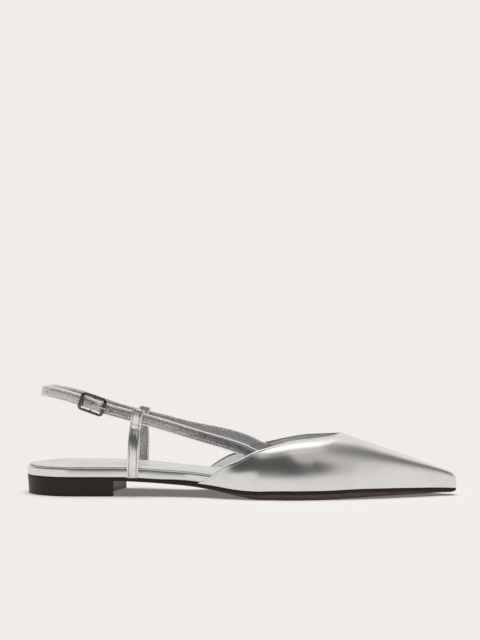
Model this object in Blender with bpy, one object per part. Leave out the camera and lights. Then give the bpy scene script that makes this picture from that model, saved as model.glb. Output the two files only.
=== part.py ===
"""A sling back flat for the right foot: a pointed vamp on a thin sole with a low block heel, and a buckled
strap round the heel held by two upright keepers. Sizes are in metres. +X points to the toe, +Y to the
inner side of the foot and +Z up. The origin is on the floor, under the middle of the heel."""

import math

import bmesh
import bpy
from mathutils import Matrix, Vector

# The two sides, as signs of Y
OUTER, INNER = -1, 1

# Lengths along the shoe, all measured from the back of the heel
LENGTH = 0.268
HEEL_CENTRE = 0.030
HEEL_ROUND = 0.030
BREAST_OUTER = 0.0575
BREAST_INNER = 0.0590
VAMP_REAR_OUTER = 0.1095
VAMP_REAR_INNER = 0.1040
THROAT_ALONG = 0.1963
THROAT_BLEND = 0.018
FLAT_START = 0.148
FLAT_END = 0.184
TOE_NOSE = 0.004
RIDGE_END = 0.0105
BREAST_ALONG = {OUTER: BREAST_OUTER, INNER: BREAST_INNER}
VAMP_REAR = {OUTER: VAMP_REAR_OUTER, INNER: VAMP_REAR_INNER}

# Widths
HEEL_HALF_WIDTH = 0.0252
WAIST_HALF_WIDTH = 0.0205
BALL_HALF_WIDTH = 0.0385

# Heights
SEAT_HEIGHT = 0.0116
THROAT_HEIGHT = 0.0384
RIDGE_END_HEIGHT = 0.0172
THROAT_DIP = 0.0028
TOE_SPRING = 0.0020
TOE_ROUND = 0.0012

# Thicknesses and clearances
GAP = 0.0003
VAMP_WALL = 0.0016
WAIST_SOLE = 0.0022
BALL_SOLE = 0.0054
SOLE_EDGE = 0.0021
BEVEL_INSET = 0.0011
LEAST_BEVEL = 0.0003
BOARD_THICKNESS = 0.0055
FOREPART_BOARD = 0.0024
BOARD_NARROWS_OVER = 0.024
BOARD_THINS_FROM = 0.012
BOARD_THINS_OVER = 0.030
BOARD_CHAMFER = 0.0007
INSOLE_THICKNESS = 0.0012
INSOLE_INSET = 0.0009
INSOLE_CROWN = 0.0013
FOREPART_CROWN = 0.0003
HEEL_PAD_START = 0.003
HEEL_PAD_RISES_OVER = 0.014
HEEL_PAD_END = 0.050
HEEL_PAD_FADE = 0.070
STRAP_THICKNESS = 0.0013
STRAP_WIDTH = 0.0070

# Heel block
BREAST_HOLLOW = 0.005
HEEL_INSET = 0.0002
HEEL_TAPER = 0.0006
HEEL_EDGE = 0.0005

# Sling strap
SLING_BACK_ALONG = 0.0090
SLING_BACK_HEIGHT = 0.0640
SLING_HALF_WIDTH = 0.0193
SLING_INNER_SAG = 0.0009
SLING_INNER_RISE = 0.0022
SLING_CROSSING_ALONG = 0.142
SLING_FRONT_ALONG = 0.154
SLING_FRONT_HEIGHT = 0.0222
FREE_TIP_ALONG = 0.0150
THROAT_OFFSET = 0.0020

# Keepers
KEEPER_WIDTH = 0.0070
KEEPER_THICKNESS = 0.0009
KEEPER_FOOT_OUTER = 0.0692
KEEPER_FOOT_INNER = 0.0697
KEEPER_TOP_OUTER = 0.0717
KEEPER_TOP_INNER = 0.0704
KEEPER_FLAP = 0.0024
KEEPER_AHEAD_OUTER = 0.0
KEEPER_AHEAD_INNER = 0.0018
KEEPER_AHEAD = {OUTER: KEEPER_AHEAD_OUTER, INNER: KEEPER_AHEAD_INNER}
KEEPER_FOOT_ALONG = {OUTER: KEEPER_FOOT_OUTER, INNER: KEEPER_FOOT_INNER}
KEEPER_TOP_ALONG = {OUTER: KEEPER_TOP_OUTER, INNER: KEEPER_TOP_INNER}

# Buckle
BUCKLE_ALONG = 0.0441
BUCKLE_LENGTH = 0.0168
BUCKLE_WIRE = 0.0006
BUCKLE_RIM = 0.0008
BUCKLE_SIDE_ROOM = 0.0006
BUCKLE_CORNER = 0.0018
BUCKLE_BOW = 0.0016
PRONG_WIRE = 0.0005
HOLE_RADIUS = 0.0009
STRAP_HOLES = 3
HOLE_PITCH = 0.0058

# Plan of the sole: share of LENGTH, outer and inner half width as shares of the size that the row follows
OUTLINE = [
    (0.000, 0.96, 0.96, HEEL_HALF_WIDTH),
    (0.112, 1.00, 1.00, HEEL_HALF_WIDTH),
    (0.213, 0.95, 0.99, HEEL_HALF_WIDTH),
    (0.300, 1.11, 1.05, WAIST_HALF_WIDTH),
    (0.373, 1.15, 0.89, WAIST_HALF_WIDTH),
    (0.430, 1.32, 0.99, WAIST_HALF_WIDTH),
    (0.485, 0.85, 0.70, BALL_HALF_WIDTH),
    (0.552, 0.96, 0.89, BALL_HALF_WIDTH),
    (0.620, 0.985, 0.995, BALL_HALF_WIDTH),
    (0.680, 0.915, 1.01, BALL_HALF_WIDTH),
    (0.754, 0.775, 0.885, BALL_HALF_WIDTH),
    (0.821, 0.615, 0.700, BALL_HALF_WIDTH),
    (0.892, 0.412, 0.462, BALL_HALF_WIDTH),
    (0.963, 0.182, 0.198, BALL_HALF_WIDTH),
    (1.000, 0.098, 0.098, BALL_HALF_WIDTH),
]

# Underside of the sole: share of LENGTH, height as a share of the size that the row follows
SEAT_UNDERSIDE = SEAT_HEIGHT - WAIST_SOLE
UNDERSIDE = [
    (0.000, 1.00, SEAT_UNDERSIDE),
    (0.225, 1.00, SEAT_UNDERSIDE),
    (0.275, 0.945, SEAT_UNDERSIDE),
    (0.330, 0.845, SEAT_UNDERSIDE),
    (0.390, 0.710, SEAT_UNDERSIDE),
    (0.430, 0.570, SEAT_UNDERSIDE),
    (0.485, 0.290, SEAT_UNDERSIDE),
    (0.525, 0.080, SEAT_UNDERSIDE),
    (FLAT_START / LENGTH, 0.00, TOE_SPRING),
    (FLAT_END / LENGTH, 0.00, TOE_SPRING),
    (0.754, 0.34, TOE_SPRING),
    (0.821, 0.64, TOE_SPRING),
    (0.892, 0.85, TOE_SPRING),
    (0.963, 0.97, TOE_SPRING),
    (1.000, 1.00, TOE_SPRING),
]

# Thickness of the sole: share of LENGTH, share of the size that the row follows
SOLE_THICKNESS = [
    (0.000, 1.00, WAIST_SOLE),
    (0.390, 1.00, WAIST_SOLE),
    (0.485, 0.60, BALL_SOLE),
    (0.552, 0.92, BALL_SOLE),
    (0.620, 1.00, BALL_SOLE),
    (0.754, 0.96, BALL_SOLE),
    (0.821, 0.85, BALL_SOLE),
    (0.892, 0.71, BALL_SOLE),
    (0.963, 0.54, BALL_SOLE),
    (1.000, 0.42, BALL_SOLE),
]

# Topline: share of the way from the vamp's rear corner to the throat, rise, spread as a share of the sole
TOPLINE = [
    (0.000, 0.000, 1.000),
    (0.070, 0.126, 1.010),
    (0.145, 0.313, 1.010),
    (0.218, 0.457, 0.975),
    (0.293, 0.556, 0.925),
    (0.360, 0.647, 0.860),
    (0.415, 0.710, 0.785),
    (0.500, 0.766, 0.655),
    (0.570, 0.813, 0.560),
    (0.640, 0.860, 0.483),
    (0.710, 0.901, 0.418),
    (0.780, 0.928, 0.390),
    (0.853, 0.941, 0.372),
    (0.925, 0.953, 0.315),
    (0.970, 0.971, 0.205),
    (0.990, 0.988, 0.100),
    (1.000, 1.000, 0.000),
]

# Ribs of the vamp: share of LENGTH, then lengths of the rib's two handles and its swell and shoulder drop
RIBS = [
    (0.400, 0.50, 0.90, 0.060, 0.40),
    (0.500, 0.50, 0.90, 0.070, 0.34),
    (0.552, 0.50, 0.90, 0.065, 0.16),
    (0.620, 0.52, 0.90, 0.060, 0.05),
    (0.754, 0.74, 0.86, 0.045, 0.03),
    (0.892, 0.90, 0.92, 0.035, 0.02),
    (0.963, 0.84, 0.90, 0.035, 0.02),
    (1.000, 0.70, 0.88, 0.050, 0.02),
]

# Sling round the heel: share of the way to the vamp, spread as a share of SLING_HALF_WIDTH
SLING_REAR_SPREAD = [
    (0.000, 0.000),
    (0.020, 0.400),
    (0.096, 0.830),
    (0.186, 0.975),
    (0.307, 0.995),
    (0.358, 1.000),
    (0.488, 1.090),
]

# Sling beside and inside the vamp: share of the way, spread as a share of the room inside the topline
SLING_FRONT_SPREAD = [
    (0.704, 1.00),
    (0.874, 1.00),
    (0.946, 1.00),
    (1.000, 1.05),
]

# Sling: share of the way to the vamp, drop as a share of its whole drop, upward tilt in degrees
SLING = [
    (0.000, 0.000, 10.0),
    (0.020, 0.000, 9.0),
    (0.096, 0.038, 7.0),
    (0.186, 0.122, 5.0),
    (0.307, 0.262, 4.0),
    (0.358, 0.311, 4.0),
    (0.488, 0.423, 4.0),
    (0.704, 0.634, 8.0),
    (0.874, 0.813, 14.0),
    (0.946, 0.923, 20.0),
    (1.000, 1.000, 24.0),
]


def column(table, index):
    """One column of a table, with the last entry of each row as its size where it has one."""
    return [row[index] * (row[-1] if len(row) - index > 1 and sized(table) else 1.0) for row in table]


def sized(table):
    """Whether the rows end in the size that they follow."""
    return table is OUTLINE or table is UNDERSIDE or table is SOLE_THICKNESS


def smooth(xs, ys, x):
    """Monotone cubic through the points, so that a flat stretch stays flat and nothing overshoots."""
    if x <= xs[0]:
        return ys[0]
    if x >= xs[-1]:
        return ys[-1]
    slopes = [(ys[i + 1] - ys[i]) / (xs[i + 1] - xs[i]) for i in range(len(xs) - 1)]

    def tangent(i):
        if i in (0, len(xs) - 1):
            return slopes[min(i, len(slopes) - 1)]
        before, after = slopes[i - 1], slopes[i]
        return 0.0 if before * after <= 0 else 2 * before * after / (before + after)

    i = max(k for k in range(len(xs) - 1) if xs[k] <= x)
    step = xs[i + 1] - xs[i]
    t = (x - xs[i]) / step
    return (
        ys[i] * (1 + 2 * t) * (1 - t) ** 2
        + tangent(i) * step * t * (1 - t) ** 2
        + ys[i + 1] * t * t * (3 - 2 * t)
        + tangent(i + 1) * step * t * t * (t - 1)
    )


def from_table(table, index, share):
    """A table's column at a share of the way."""
    return smooth([row[0] for row in table], column(table, index), share)


def ease(t):
    """0 before 0, 1 after 1, and a smooth step between."""
    t = max(0.0, min(1.0, t))
    return t * t * (3 - 2 * t)


def half_width(along, side):
    """Half width of the sole, with the round heel and the small round nose at the toe."""
    width = from_table(OUTLINE, 1 if side == OUTER else 2, along / LENGTH)
    if along < HEEL_ROUND:
        width *= math.sqrt(max(0.0, 1 - (1 - along / HEEL_ROUND) ** 2))
    left = max(0.0, LENGTH - along)
    return width * math.sqrt(max(0.0, 1 - (TOE_NOSE / (left + TOE_NOSE)) ** 2))


def plan_point(turn, side):
    """A point of the outline. turn runs from 0 at the heel to pi at the toe, close together at both ends."""
    along = LENGTH * (1 - math.cos(turn)) / 2
    return Vector((along - HEEL_CENTRE, side * half_width(along, side)))


def plan_normal(along, side):
    """Outward normal of the outline, in plan."""
    turn = math.acos(max(-1.0, min(1.0, 1 - 2 * along / LENGTH)))
    step = 0.004
    if turn < step:
        return Vector((-1, 0))
    if turn > math.pi - step:
        return Vector((1, 0))
    way = plan_point(turn + step, side) - plan_point(turn - step, side)
    return Vector((-side * way.y, side * way.x)).normalized()


def edge(along, side, inset=0.0):
    """A point of the outline, moved inwards."""
    point = Vector((along - HEEL_CENTRE, side * half_width(along, side)))
    return point - plan_normal(along, side) * inset


def underside(along):
    return from_table(UNDERSIDE, 1, along / LENGTH)


def sole_top(along):
    return underside(along) + from_table(SOLE_THICKNESS, 1, along / LENGTH)


def stations(start, end, count):
    """Distances from the heel, closer together towards both ends of the sole."""
    first, last = (math.acos(1 - 2 * a / LENGTH) for a in (start, end))
    return [LENGTH * (1 - math.cos(first + (last - first) * i / count)) / 2 for i in range(count + 1)]


def board_inset(along):
    """The board narrows in front of the arch, to leave room for the vamp's wall round it."""
    start = min(VAMP_REAR.values()) - GAP - BOARD_NARROWS_OVER
    return (VAMP_WALL + GAP) * ease((along - start) / BOARD_NARROWS_OVER)


def board_top(along):
    """Top of the board, which is thinner inside the vamp."""
    share = ease((along - VAMP_REAR[OUTER] - BOARD_THINS_FROM) / BOARD_THINS_OVER)
    thickness = BOARD_THICKNESS + (FOREPART_BOARD - BOARD_THICKNESS) * share
    return sole_top(along) + GAP + thickness


def new_object(name, mesh, material):
    obj = bpy.data.objects.new(name, mesh)
    bpy.context.scene.collection.objects.link(obj)
    mesh.materials.append(material)
    return obj


def smooth_shaded(mesh, degrees=40):
    mesh.shade_smooth()
    mesh.set_sharp_from_angle(angle=math.radians(degrees))


def loft(name, rings, material, closed_ends=True, merge=1e-6):
    """A closed solid through rings of points, each ring one section."""
    bm = bmesh.new()
    rows = [[bm.verts.new(p) for p in ring] for ring in rings]
    for a, b in zip(rows, rows[1:]):
        for i in range(len(a)):
            j = (i + 1) % len(a)
            bm.faces.new((a[i], a[j], b[j], b[i]))
    if closed_ends:
        bm.faces.new(rows[0])
        bm.faces.new(rows[-1])
    bmesh.ops.remove_doubles(bm, verts=bm.verts, dist=merge)
    bmesh.ops.dissolve_degenerate(bm, edges=bm.edges, dist=merge)
    bmesh.ops.recalc_face_normals(bm, faces=bm.faces)
    mesh = bpy.data.meshes.new(name)
    bm.to_mesh(mesh)
    bm.free()
    smooth_shaded(mesh)
    return new_object(name, mesh, material)


def material(name, colour, roughness, metallic):
    made = bpy.data.materials.new(name)
    made.use_nodes = True
    shader = made.node_tree.nodes["Principled BSDF"]
    shader.inputs["Base Color"].default_value = (*colour, 1)
    shader.inputs["Roughness"].default_value = roughness
    shader.inputs["Metallic"].default_value = metallic
    return made


def sole_ring(along):
    """Section of the outsole: an upright black edge over a bevel that grows with the thickness."""
    near_tip = max(0.0, 1 - (LENGTH - along) / TOE_NOSE)
    top = sole_top(along)
    low = underside(along) + TOE_ROUND * (1 - math.sqrt(1 - near_tip**2))
    bevel = max(LEAST_BEVEL, top - low - SOLE_EDGE)
    inset = min(BEVEL_INSET, bevel)
    ring = []
    for side, order in ((OUTER, 1), (INNER, -1)):
        rim, foot = edge(along, side), edge(along, side, inset)
        points = [(rim, top), (rim, low + bevel), (foot, low)]
        ring += [(p.x, p.y, z) for p, z in points[::order]]
    return ring


def make_outsole(finish):
    places = stations(0.0, LENGTH, 46)
    apart = LENGTH / 134
    places = [a for a in places if min(abs(a - FLAT_START), abs(a - FLAT_END)) > apart]
    places = sorted(places + [FLAT_START, FLAT_END])
    return loft("outsole", [sole_ring(a) for a in places], finish)


def make_heel(finish):
    """The heel block: the sole's outline behind a breast that is hollowed in an arc."""
    foot_inset = HEEL_INSET + HEEL_TAPER
    levels = (
        (SEAT_UNDERSIDE - GAP, HEEL_INSET),
        (HEEL_EDGE, foot_inset),
        (0.0, foot_inset + HEEL_EDGE),
    )
    places = {side: stations(0.0, BREAST_ALONG[side], 14) for side in (OUTER, INNER)}
    steps = 10
    rings = []
    for height, inset in levels:
        sides = {side: [edge(a, side, inset) for a in places[side]] for side in (OUTER, INNER)}
        start, end = sides[OUTER][-1], sides[INNER][-1]
        breast = []
        for i in range(1, steps):
            share = i / steps
            point = start.lerp(end, share)
            point.x -= BREAST_HOLLOW * (1 - (2 * share - 1) ** 2)
            breast.append(point)
        outline = sides[OUTER] + breast + sides[INNER][:0:-1]
        rings.append([(p.x, p.y, height) for p in outline])
    return loft("heel", rings, finish)


def make_board(finish):
    """The wrapped insole board. Its side is the silver band above the heel and the arch."""
    rings = []
    for along in stations(0.0, LENGTH - VAMP_WALL - GAP, 44):
        low, top = sole_top(along) + GAP, board_top(along)
        inset = board_inset(along)
        ring = []
        for side, order in ((OUTER, 1), (INNER, -1)):
            rim, lip = edge(along, side, inset), edge(along, side, inset + BOARD_CHAMFER)
            points = [(rim, low), (rim, top - BOARD_CHAMFER), (lip, top)]
            ring += [(p.x, p.y, z) for p, z in points[::order]]
        rings.append(ring)
    return loft("insole_board", rings, finish)


def insole_rise(along):
    """Height of the padding in the middle of the insole, most under the heel."""
    crown = INSOLE_CROWN + (FOREPART_CROWN - INSOLE_CROWN) * ease((along - HEEL_PAD_END) / HEEL_PAD_FADE)
    return crown * ease((along - HEEL_PAD_START) / HEEL_PAD_RISES_OVER)


def make_insole(finish):
    """The sock on the board, padded so that its middle stands above its edge."""
    across = (1.0, 0.8, 0.45, 0.0, -0.45, -0.8, -1.0)
    rings = []
    for along in stations(0.0, LENGTH - 3 * TOE_NOSE, 40):
        low = board_top(along) + GAP
        inset = board_inset(along) + BOARD_CHAMFER + INSOLE_INSET
        outer, inner = edge(along, OUTER, inset), edge(along, INNER, inset)
        ring = [(outer.x, outer.y, low), (inner.x, inner.y, low)]
        for share in across:
            point = outer.lerp(inner, (1 + share) / 2)
            rise = insole_rise(along) * (1 - share**4) * ease((outer - inner).length / HEEL_HALF_WIDTH)
            ring.append((point.x, point.y, low + INSOLE_THICKNESS + rise))
        rings.append(ring)
    return loft("insole", rings, finish)


def topline(along, side):
    """A point of the topline, which runs from the rear corner of the vamp up to the throat."""
    share = (along - VAMP_REAR[side]) / (THROAT_ALONG - VAMP_REAR[side])
    rise = from_table(TOPLINE, 1, share)
    spread = from_table(TOPLINE, 2, share)
    foot = sole_top(along) + GAP
    across = side * spread * half_width(along, side) + THROAT_OFFSET * max(0.0, share) ** 2
    return Vector((along - HEEL_CENTRE, across, foot + rise * (THROAT_HEIGHT - foot)))


def ridge(along):
    """A point of the crest from the throat towards the toe."""
    share = (along - THROAT_ALONG) / (LENGTH - RIDGE_END - THROAT_ALONG)
    height = THROAT_HEIGHT + (RIDGE_END_HEIGHT - THROAT_HEIGHT) * share
    return Vector((along - HEEL_CENTRE, THROAT_OFFSET * (1 - share), height))


def rib_ends(along, side):
    """Where a rib of the vamp starts, at the sole, and ends, at the topline or the crest."""
    rim = edge(along, side)
    foot = Vector((rim.x, rim.y, sole_top(along) + GAP))
    if along <= THROAT_ALONG:
        return foot, topline(along, side), 0.0
    share = (along - THROAT_ALONG) / (LENGTH - THROAT_ALONG)
    head = ridge(THROAT_ALONG + share * (LENGTH - RIDGE_END - THROAT_ALONG))
    slope = (RIDGE_END_HEIGHT - THROAT_HEIGHT) / (LENGTH - RIDGE_END - THROAT_ALONG)
    return foot, head, slope


def rib_point(along, side, share):
    """A point of the vamp's outside, on the rib at this place, from the sole (0) to the rib's head (1)."""
    foot, head, slope = rib_ends(along, side)
    rise, roof, swell, drop = (from_table(RIBS, i, along / LENGTH) for i in range(1, 5))
    tall = head.z - foot.z
    reach = Vector((foot.x - head.x, foot.y - head.y))
    out = plan_normal(along, side)
    low = foot + Vector((out.x * swell * tall, out.y * swell * tall, rise * tall))
    high = head + Vector((reach.x * roof, reach.y * roof, slope * reach.x * roof - drop * tall))
    high.z -= THROAT_DIP * max(0.0, 1 - abs(along - THROAT_ALONG) / THROAT_BLEND) ** 2
    t, u = share, 1 - share
    return foot * u**3 + low * (3 * u * u * t) + high * (3 * u * t * t) + head * t**3


def make_vamp(finish):
    """The upper's wall. Each side is a grid of ribs, and the two sides are one from the throat to the toe."""
    rows = 9
    front = stations(THROAT_ALONG, LENGTH, 17)[1:]
    bm = bmesh.new()
    for side in (OUTER, INNER):
        rear = VAMP_REAR[side]
        behind = [rear + (THROAT_ALONG - rear) * (1 - (1 - i / 18) ** 1.35) for i in range(19)]
        grid = [[bm.verts.new(rib_point(a, side, i / rows)) for i in range(rows + 1)] for a in behind + front]
        for a, b in zip(grid, grid[1:]):
            for i in range(rows):
                corners = (a[i], b[i], b[i + 1], a[i + 1])
                bm.faces.new(corners if side == OUTER else corners[::-1])
    bmesh.ops.remove_doubles(bm, verts=bm.verts, dist=2e-5)
    bmesh.ops.dissolve_degenerate(bm, edges=bm.edges, dist=2e-5)
    mesh = bpy.data.meshes.new("vamp")
    bm.to_mesh(mesh)
    bm.free()
    smooth_shaded(mesh, 50)
    obj = new_object("vamp", mesh, finish)
    wall = obj.modifiers.new("wall", "SOLIDIFY")
    wall.thickness = VAMP_WALL
    wall.offset = -1
    wall.use_even_offset = True
    wall.thickness_clamp = 1.2
    return obj


def room_in_topline(side):
    """Spread of a strap's middle line that clears the inside of the vamp where it passes the topline."""
    rim = abs(topline(SLING_CROSSING_ALONG, side).y)
    return rim - 1.5 * VAMP_WALL - GAP - STRAP_THICKNESS


def sling_point(share, side):
    """A point of the sling's middle line, from the back of the heel to inside the vamp."""
    along = SLING_BACK_ALONG + (SLING_FRONT_ALONG - SLING_BACK_ALONG) * share
    room = room_in_topline(side)
    spreads = [(at, spread * SLING_HALF_WIDTH) for at, spread in SLING_REAR_SPREAD]
    spreads += [(at, spread * room) for at, spread in SLING_FRONT_SPREAD]
    across = smooth(*zip(*spreads), share)
    height = SLING_BACK_HEIGHT + (SLING_FRONT_HEIGHT - SLING_BACK_HEIGHT) * from_table(SLING, 1, share)
    if side == INNER:
        height -= SLING_INNER_SAG * math.sin(math.pi * min(1.0, share / 0.75))
        height += SLING_INNER_RISE * ease((share - 0.58) / 0.27)
    return Vector((along - HEEL_CENTRE, side * across, height))


def sling_frame(share, side):
    """Place, direction to the vamp, outward normal and upward width direction of the sling strap."""
    step = 0.002
    if share < step:
        way = sling_point(step, side) - sling_point(step, -side)
    else:
        way = sling_point(min(1.0, share + step), side) - sling_point(share - step, side)
    way.normalize()
    level = Vector((-side * way.y, side * way.x, 0)).normalized()
    up = way.cross(level) * side
    tilt = math.radians(from_table(SLING, 2, share))
    normal = level * math.cos(tilt) + up * math.sin(tilt)
    return sling_point(share, side), way, normal, up * math.cos(tilt) - level * math.sin(tilt)


def band_ring(place, up, normal, width, thickness):
    """Section of a strap with its edges turned: a flat band with rounded corners."""
    round_off = 0.3 * thickness
    w, t = width / 2, thickness / 2
    corners = (
        (w - round_off, t), (w, t - round_off), (w, round_off - t), (w - round_off, -t),
        (round_off - w, -t), (-w, round_off - t), (-w, t - round_off), (round_off - w, t),
    )
    return [place + up * a + normal * b for a, b in corners]


def share_at(along):
    """How far along the sling a place is, from its distance to the back of the heel."""
    return (along - SLING_BACK_ALONG) / (SLING_FRONT_ALONG - SLING_BACK_ALONG)


def over_bar():
    """How far the outer strap stands off the inner strap's middle where it passes over the buckle's bar."""
    return bar_lift() + eye_radius() + GAP + STRAP_THICKNESS / 2


def lap():
    """How far the outer strap's free end stands off the inner strap that it lies on."""
    return STRAP_THICKNESS + GAP


def bar_lift():
    """Height of the buckle's middle bar above the inner strap's middle line."""
    return frame_lift() - BUCKLE_BOW


def frame_lift():
    """Height of the frame's end bars, which lie on the outer strap's free end."""
    return lap() + STRAP_THICKNESS / 2 + GAP + BUCKLE_WIRE


def eye_radius():
    """Outside of the inner strap's fold round the bar."""
    return BUCKLE_WIRE + GAP + STRAP_THICKNESS * 0.55


def outer_lift(along):
    """How far the outer strap stands off the sling's middle line."""
    half = BUCKLE_LENGTH / 2
    off = along - BUCKLE_ALONG
    hump = (over_bar() - lap()) * (1 - ease(abs(off) / (half - BUCKLE_RIM)))
    return lap() * (1 - ease((off - half) / BUCKLE_LENGTH)) + hump


def make_sling_outer(finish):
    """The strap with the free tip: from the vamp through the keeper, over the bar and on along the strap."""
    tip = FREE_TIP_ALONG
    buckle_from = BUCKLE_ALONG - BUCKLE_LENGTH / 2
    buckle_to = BUCKLE_ALONG + BUCKLE_LENGTH / 2
    rounding = STRAP_WIDTH / 2
    places = [tip + rounding * (1 - math.cos(math.pi / 2 * i / 5)) for i in range(5)]
    places += [tip + rounding + (buckle_from - tip - rounding) * i / 6 for i in range(6)]
    places += [buckle_from + BUCKLE_LENGTH * i / 12 for i in range(12)]
    places += [buckle_to + (SLING_FRONT_ALONG - buckle_to) * i / 22 for i in range(23)]
    rings = []
    for along in places:
        place, _, normal, up = sling_frame(share_at(along), OUTER)
        left = (along - tip) / rounding
        width = STRAP_WIDTH * (1 if left >= 1 else max(0.2, math.sqrt(1 - (1 - left) ** 2)))
        place = place + normal * outer_lift(along)
        rings.append(band_ring(place, up, normal, width, STRAP_THICKNESS))
    strap = loft("sling_strap_outer", rings, finish)
    for i in range(STRAP_HOLES):
        place, _, normal, _ = sling_frame(share_at(BUCKLE_ALONG + i * HOLE_PITCH), OUTER)
        punch = cylinder(f"punch_{i}", place - normal * 0.01, place + normal * 0.01, HOLE_RADIUS, 10)
        cut(strap, punch)
    return strap


def make_sling_inner(finish):
    """The strap that carries the buckle: out of the vamp's inner side, round the heel, to the bar."""
    stop = BUCKLE_ALONG - eye_radius() * 0.5
    rings = []
    for side, count in ((INNER, 34), (OUTER, 12)):
        far = SLING_FRONT_ALONG if side == INNER else stop
        for i in range(count + 1):
            share = (i / count) ** 1.3
            if side == OUTER and i == 0:
                continue
            along = SLING_BACK_ALONG + (far - SLING_BACK_ALONG) * share
            place, _, normal, up = sling_frame(share_at(along), side)
            if side == OUTER:
                ramp = ease((BUCKLE_ALONG - along) / (BUCKLE_LENGTH / 2 - BUCKLE_RIM))
                place = place + normal * bar_lift() * (1 - ramp)
            ring = band_ring(place, up, normal, STRAP_WIDTH, STRAP_THICKNESS)
            rings.insert(0 if side == INNER else len(rings), ring)
    strap = loft("sling_strap_inner", rings, finish)
    place, way, normal, up = sling_frame(share_at(BUCKLE_ALONG), OUTER)
    middle = place + normal * bar_lift()
    fold = cylinder("fold", middle - up * STRAP_WIDTH / 2, middle + up * STRAP_WIDTH / 2, eye_radius(), 16)
    join(strap, fold)
    cut(strap, cylinder("bar_way", middle - up * 0.01, middle + up * 0.01, BUCKLE_WIRE + GAP, 12))
    slot = box("prong_slot", (BUCKLE_LENGTH, 2 * PRONG_WIRE + 2 * GAP, BUCKLE_LENGTH))
    start = middle - way * (hook_radius() + PRONG_WIRE + GAP)
    slot.matrix_world = placed(start + way * BUCKLE_LENGTH / 2, way, up, normal)
    cut(strap, slot)
    return strap


def placed(origin, x_axis, y_axis, z_axis):
    """A matrix that puts a piece built about the origin at its place."""
    made = Matrix((x_axis, y_axis, z_axis)).transposed().to_4x4()
    made.translation = origin
    return made


def cylinder(name, start, end, radius, sides):
    way = end - start
    bm = bmesh.new()
    bmesh.ops.create_cone(
        bm, cap_ends=True, segments=sides, radius1=radius, radius2=radius, depth=way.length
    )
    turn = way.to_track_quat("Z", "Y").to_matrix().to_4x4()
    bmesh.ops.transform(bm, matrix=Matrix.Translation((start + end) / 2) @ turn, verts=bm.verts)
    mesh = bpy.data.meshes.new(name)
    bm.to_mesh(mesh)
    bm.free()
    obj = bpy.data.objects.new(name, mesh)
    bpy.context.scene.collection.objects.link(obj)
    return obj


def box(name, size):
    bm = bmesh.new()
    bmesh.ops.create_cube(bm, size=1)
    bmesh.ops.scale(bm, vec=size, verts=bm.verts)
    mesh = bpy.data.meshes.new(name)
    bm.to_mesh(mesh)
    bm.free()
    obj = bpy.data.objects.new(name, mesh)
    bpy.context.scene.collection.objects.link(obj)
    return obj


def combine(target, other, operation):
    """A Boolean with a guide object, which is kept as wire and left out of the part."""
    other.hide_render = True
    other.display_type = "WIRE"
    step = target.modifiers.new(other.name, "BOOLEAN")
    step.operation = operation
    step.object = other
    step.solver = "EXACT"


def cut(target, cutter):
    combine(target, cutter, "DIFFERENCE")


def join(target, other):
    combine(target, other, "UNION")


def make_keeper(name, side, finish):
    """An upright strap that runs up behind the sling, over its top edge and down in front."""
    rim = edge(KEEPER_FOOT_ALONG[side], side, -(GAP + KEEPER_THICKNESS / 2))
    foot = Vector((rim.x, rim.y, sole_top(KEEPER_FOOT_ALONG[side]) + GAP))
    beside = Vector((rim.x, rim.y, board_top(KEEPER_FOOT_ALONG[side])))
    tangent = edge(KEEPER_FOOT_ALONG[side] + 0.002, side) - edge(KEEPER_FOOT_ALONG[side] - 0.002, side)
    flat = Vector((tangent.x, tangent.y, 0)).normalized()
    place, way, normal, up = sling_frame(share_at(KEEPER_TOP_ALONG[side]), side)
    off = STRAP_THICKNESS / 2 + GAP + KEEPER_THICKNESS / 2
    half = STRAP_WIDTH / 2
    bend = half - 0.15 * STRAP_THICKNESS

    def spot(out, rise):
        ahead = KEEPER_AHEAD[side] * ease((-rise - 0.5 * half) / (half + KEEPER_FLAP))
        return place + normal * out + up * rise + Vector((ahead, 0, 0))

    low = spot(-off, -half - GAP - KEEPER_FLAP)
    upright = [foot, beside]
    for rise in (0.15, 0.4, 0.7):
        lean = beside.lerp(low, rise**2)
        upright.append(Vector((beside.lerp(low, rise).x, lean.y, beside.lerp(low, rise).z)))
    upright.append(low)
    path = upright + [spot(-off, -half / 2)]
    path += [
        spot(-off * math.cos(math.pi * i / 8), bend + off * math.sin(math.pi * i / 8)) for i in range(9)
    ]
    path += [spot(off, 0), spot(off, -half)]
    strap = sweep(name, path, flat, way, KEEPER_WIDTH, KEEPER_THICKNESS, finish, len(upright) - 1)
    flap = [spot(off, -half * 0.8), spot(off, -half - GAP), spot(off * 0.5, -half - 0.5 * KEEPER_FLAP)]
    flap += [spot(-off * 0.35, -half - KEEPER_FLAP), spot(-off, -half - 1.2 * KEEPER_FLAP)]
    seam = sweep(name + "_seam", flap, way, way, KEEPER_WIDTH * 0.97, KEEPER_THICKNESS * 0.9, finish)
    join(strap, seam)
    return strap


def sweep(name, path, width_from, width_to, width, thickness, finish, turned_at=1):
    """A band along a path of points, with its width turned from one direction to another by one of them."""
    rings = []
    last = len(path) - 1
    for i, place in enumerate(path):
        way = (path[min(i + 1, last)] - path[max(i - 1, 0)]).normalized()
        across = width_from.lerp(width_to, ease(i / turned_at)).normalized()
        normal = way.cross(across).normalized()
        rings.append(band_ring(place, across, normal, width, thickness))
    return loft(name, rings, finish)


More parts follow.
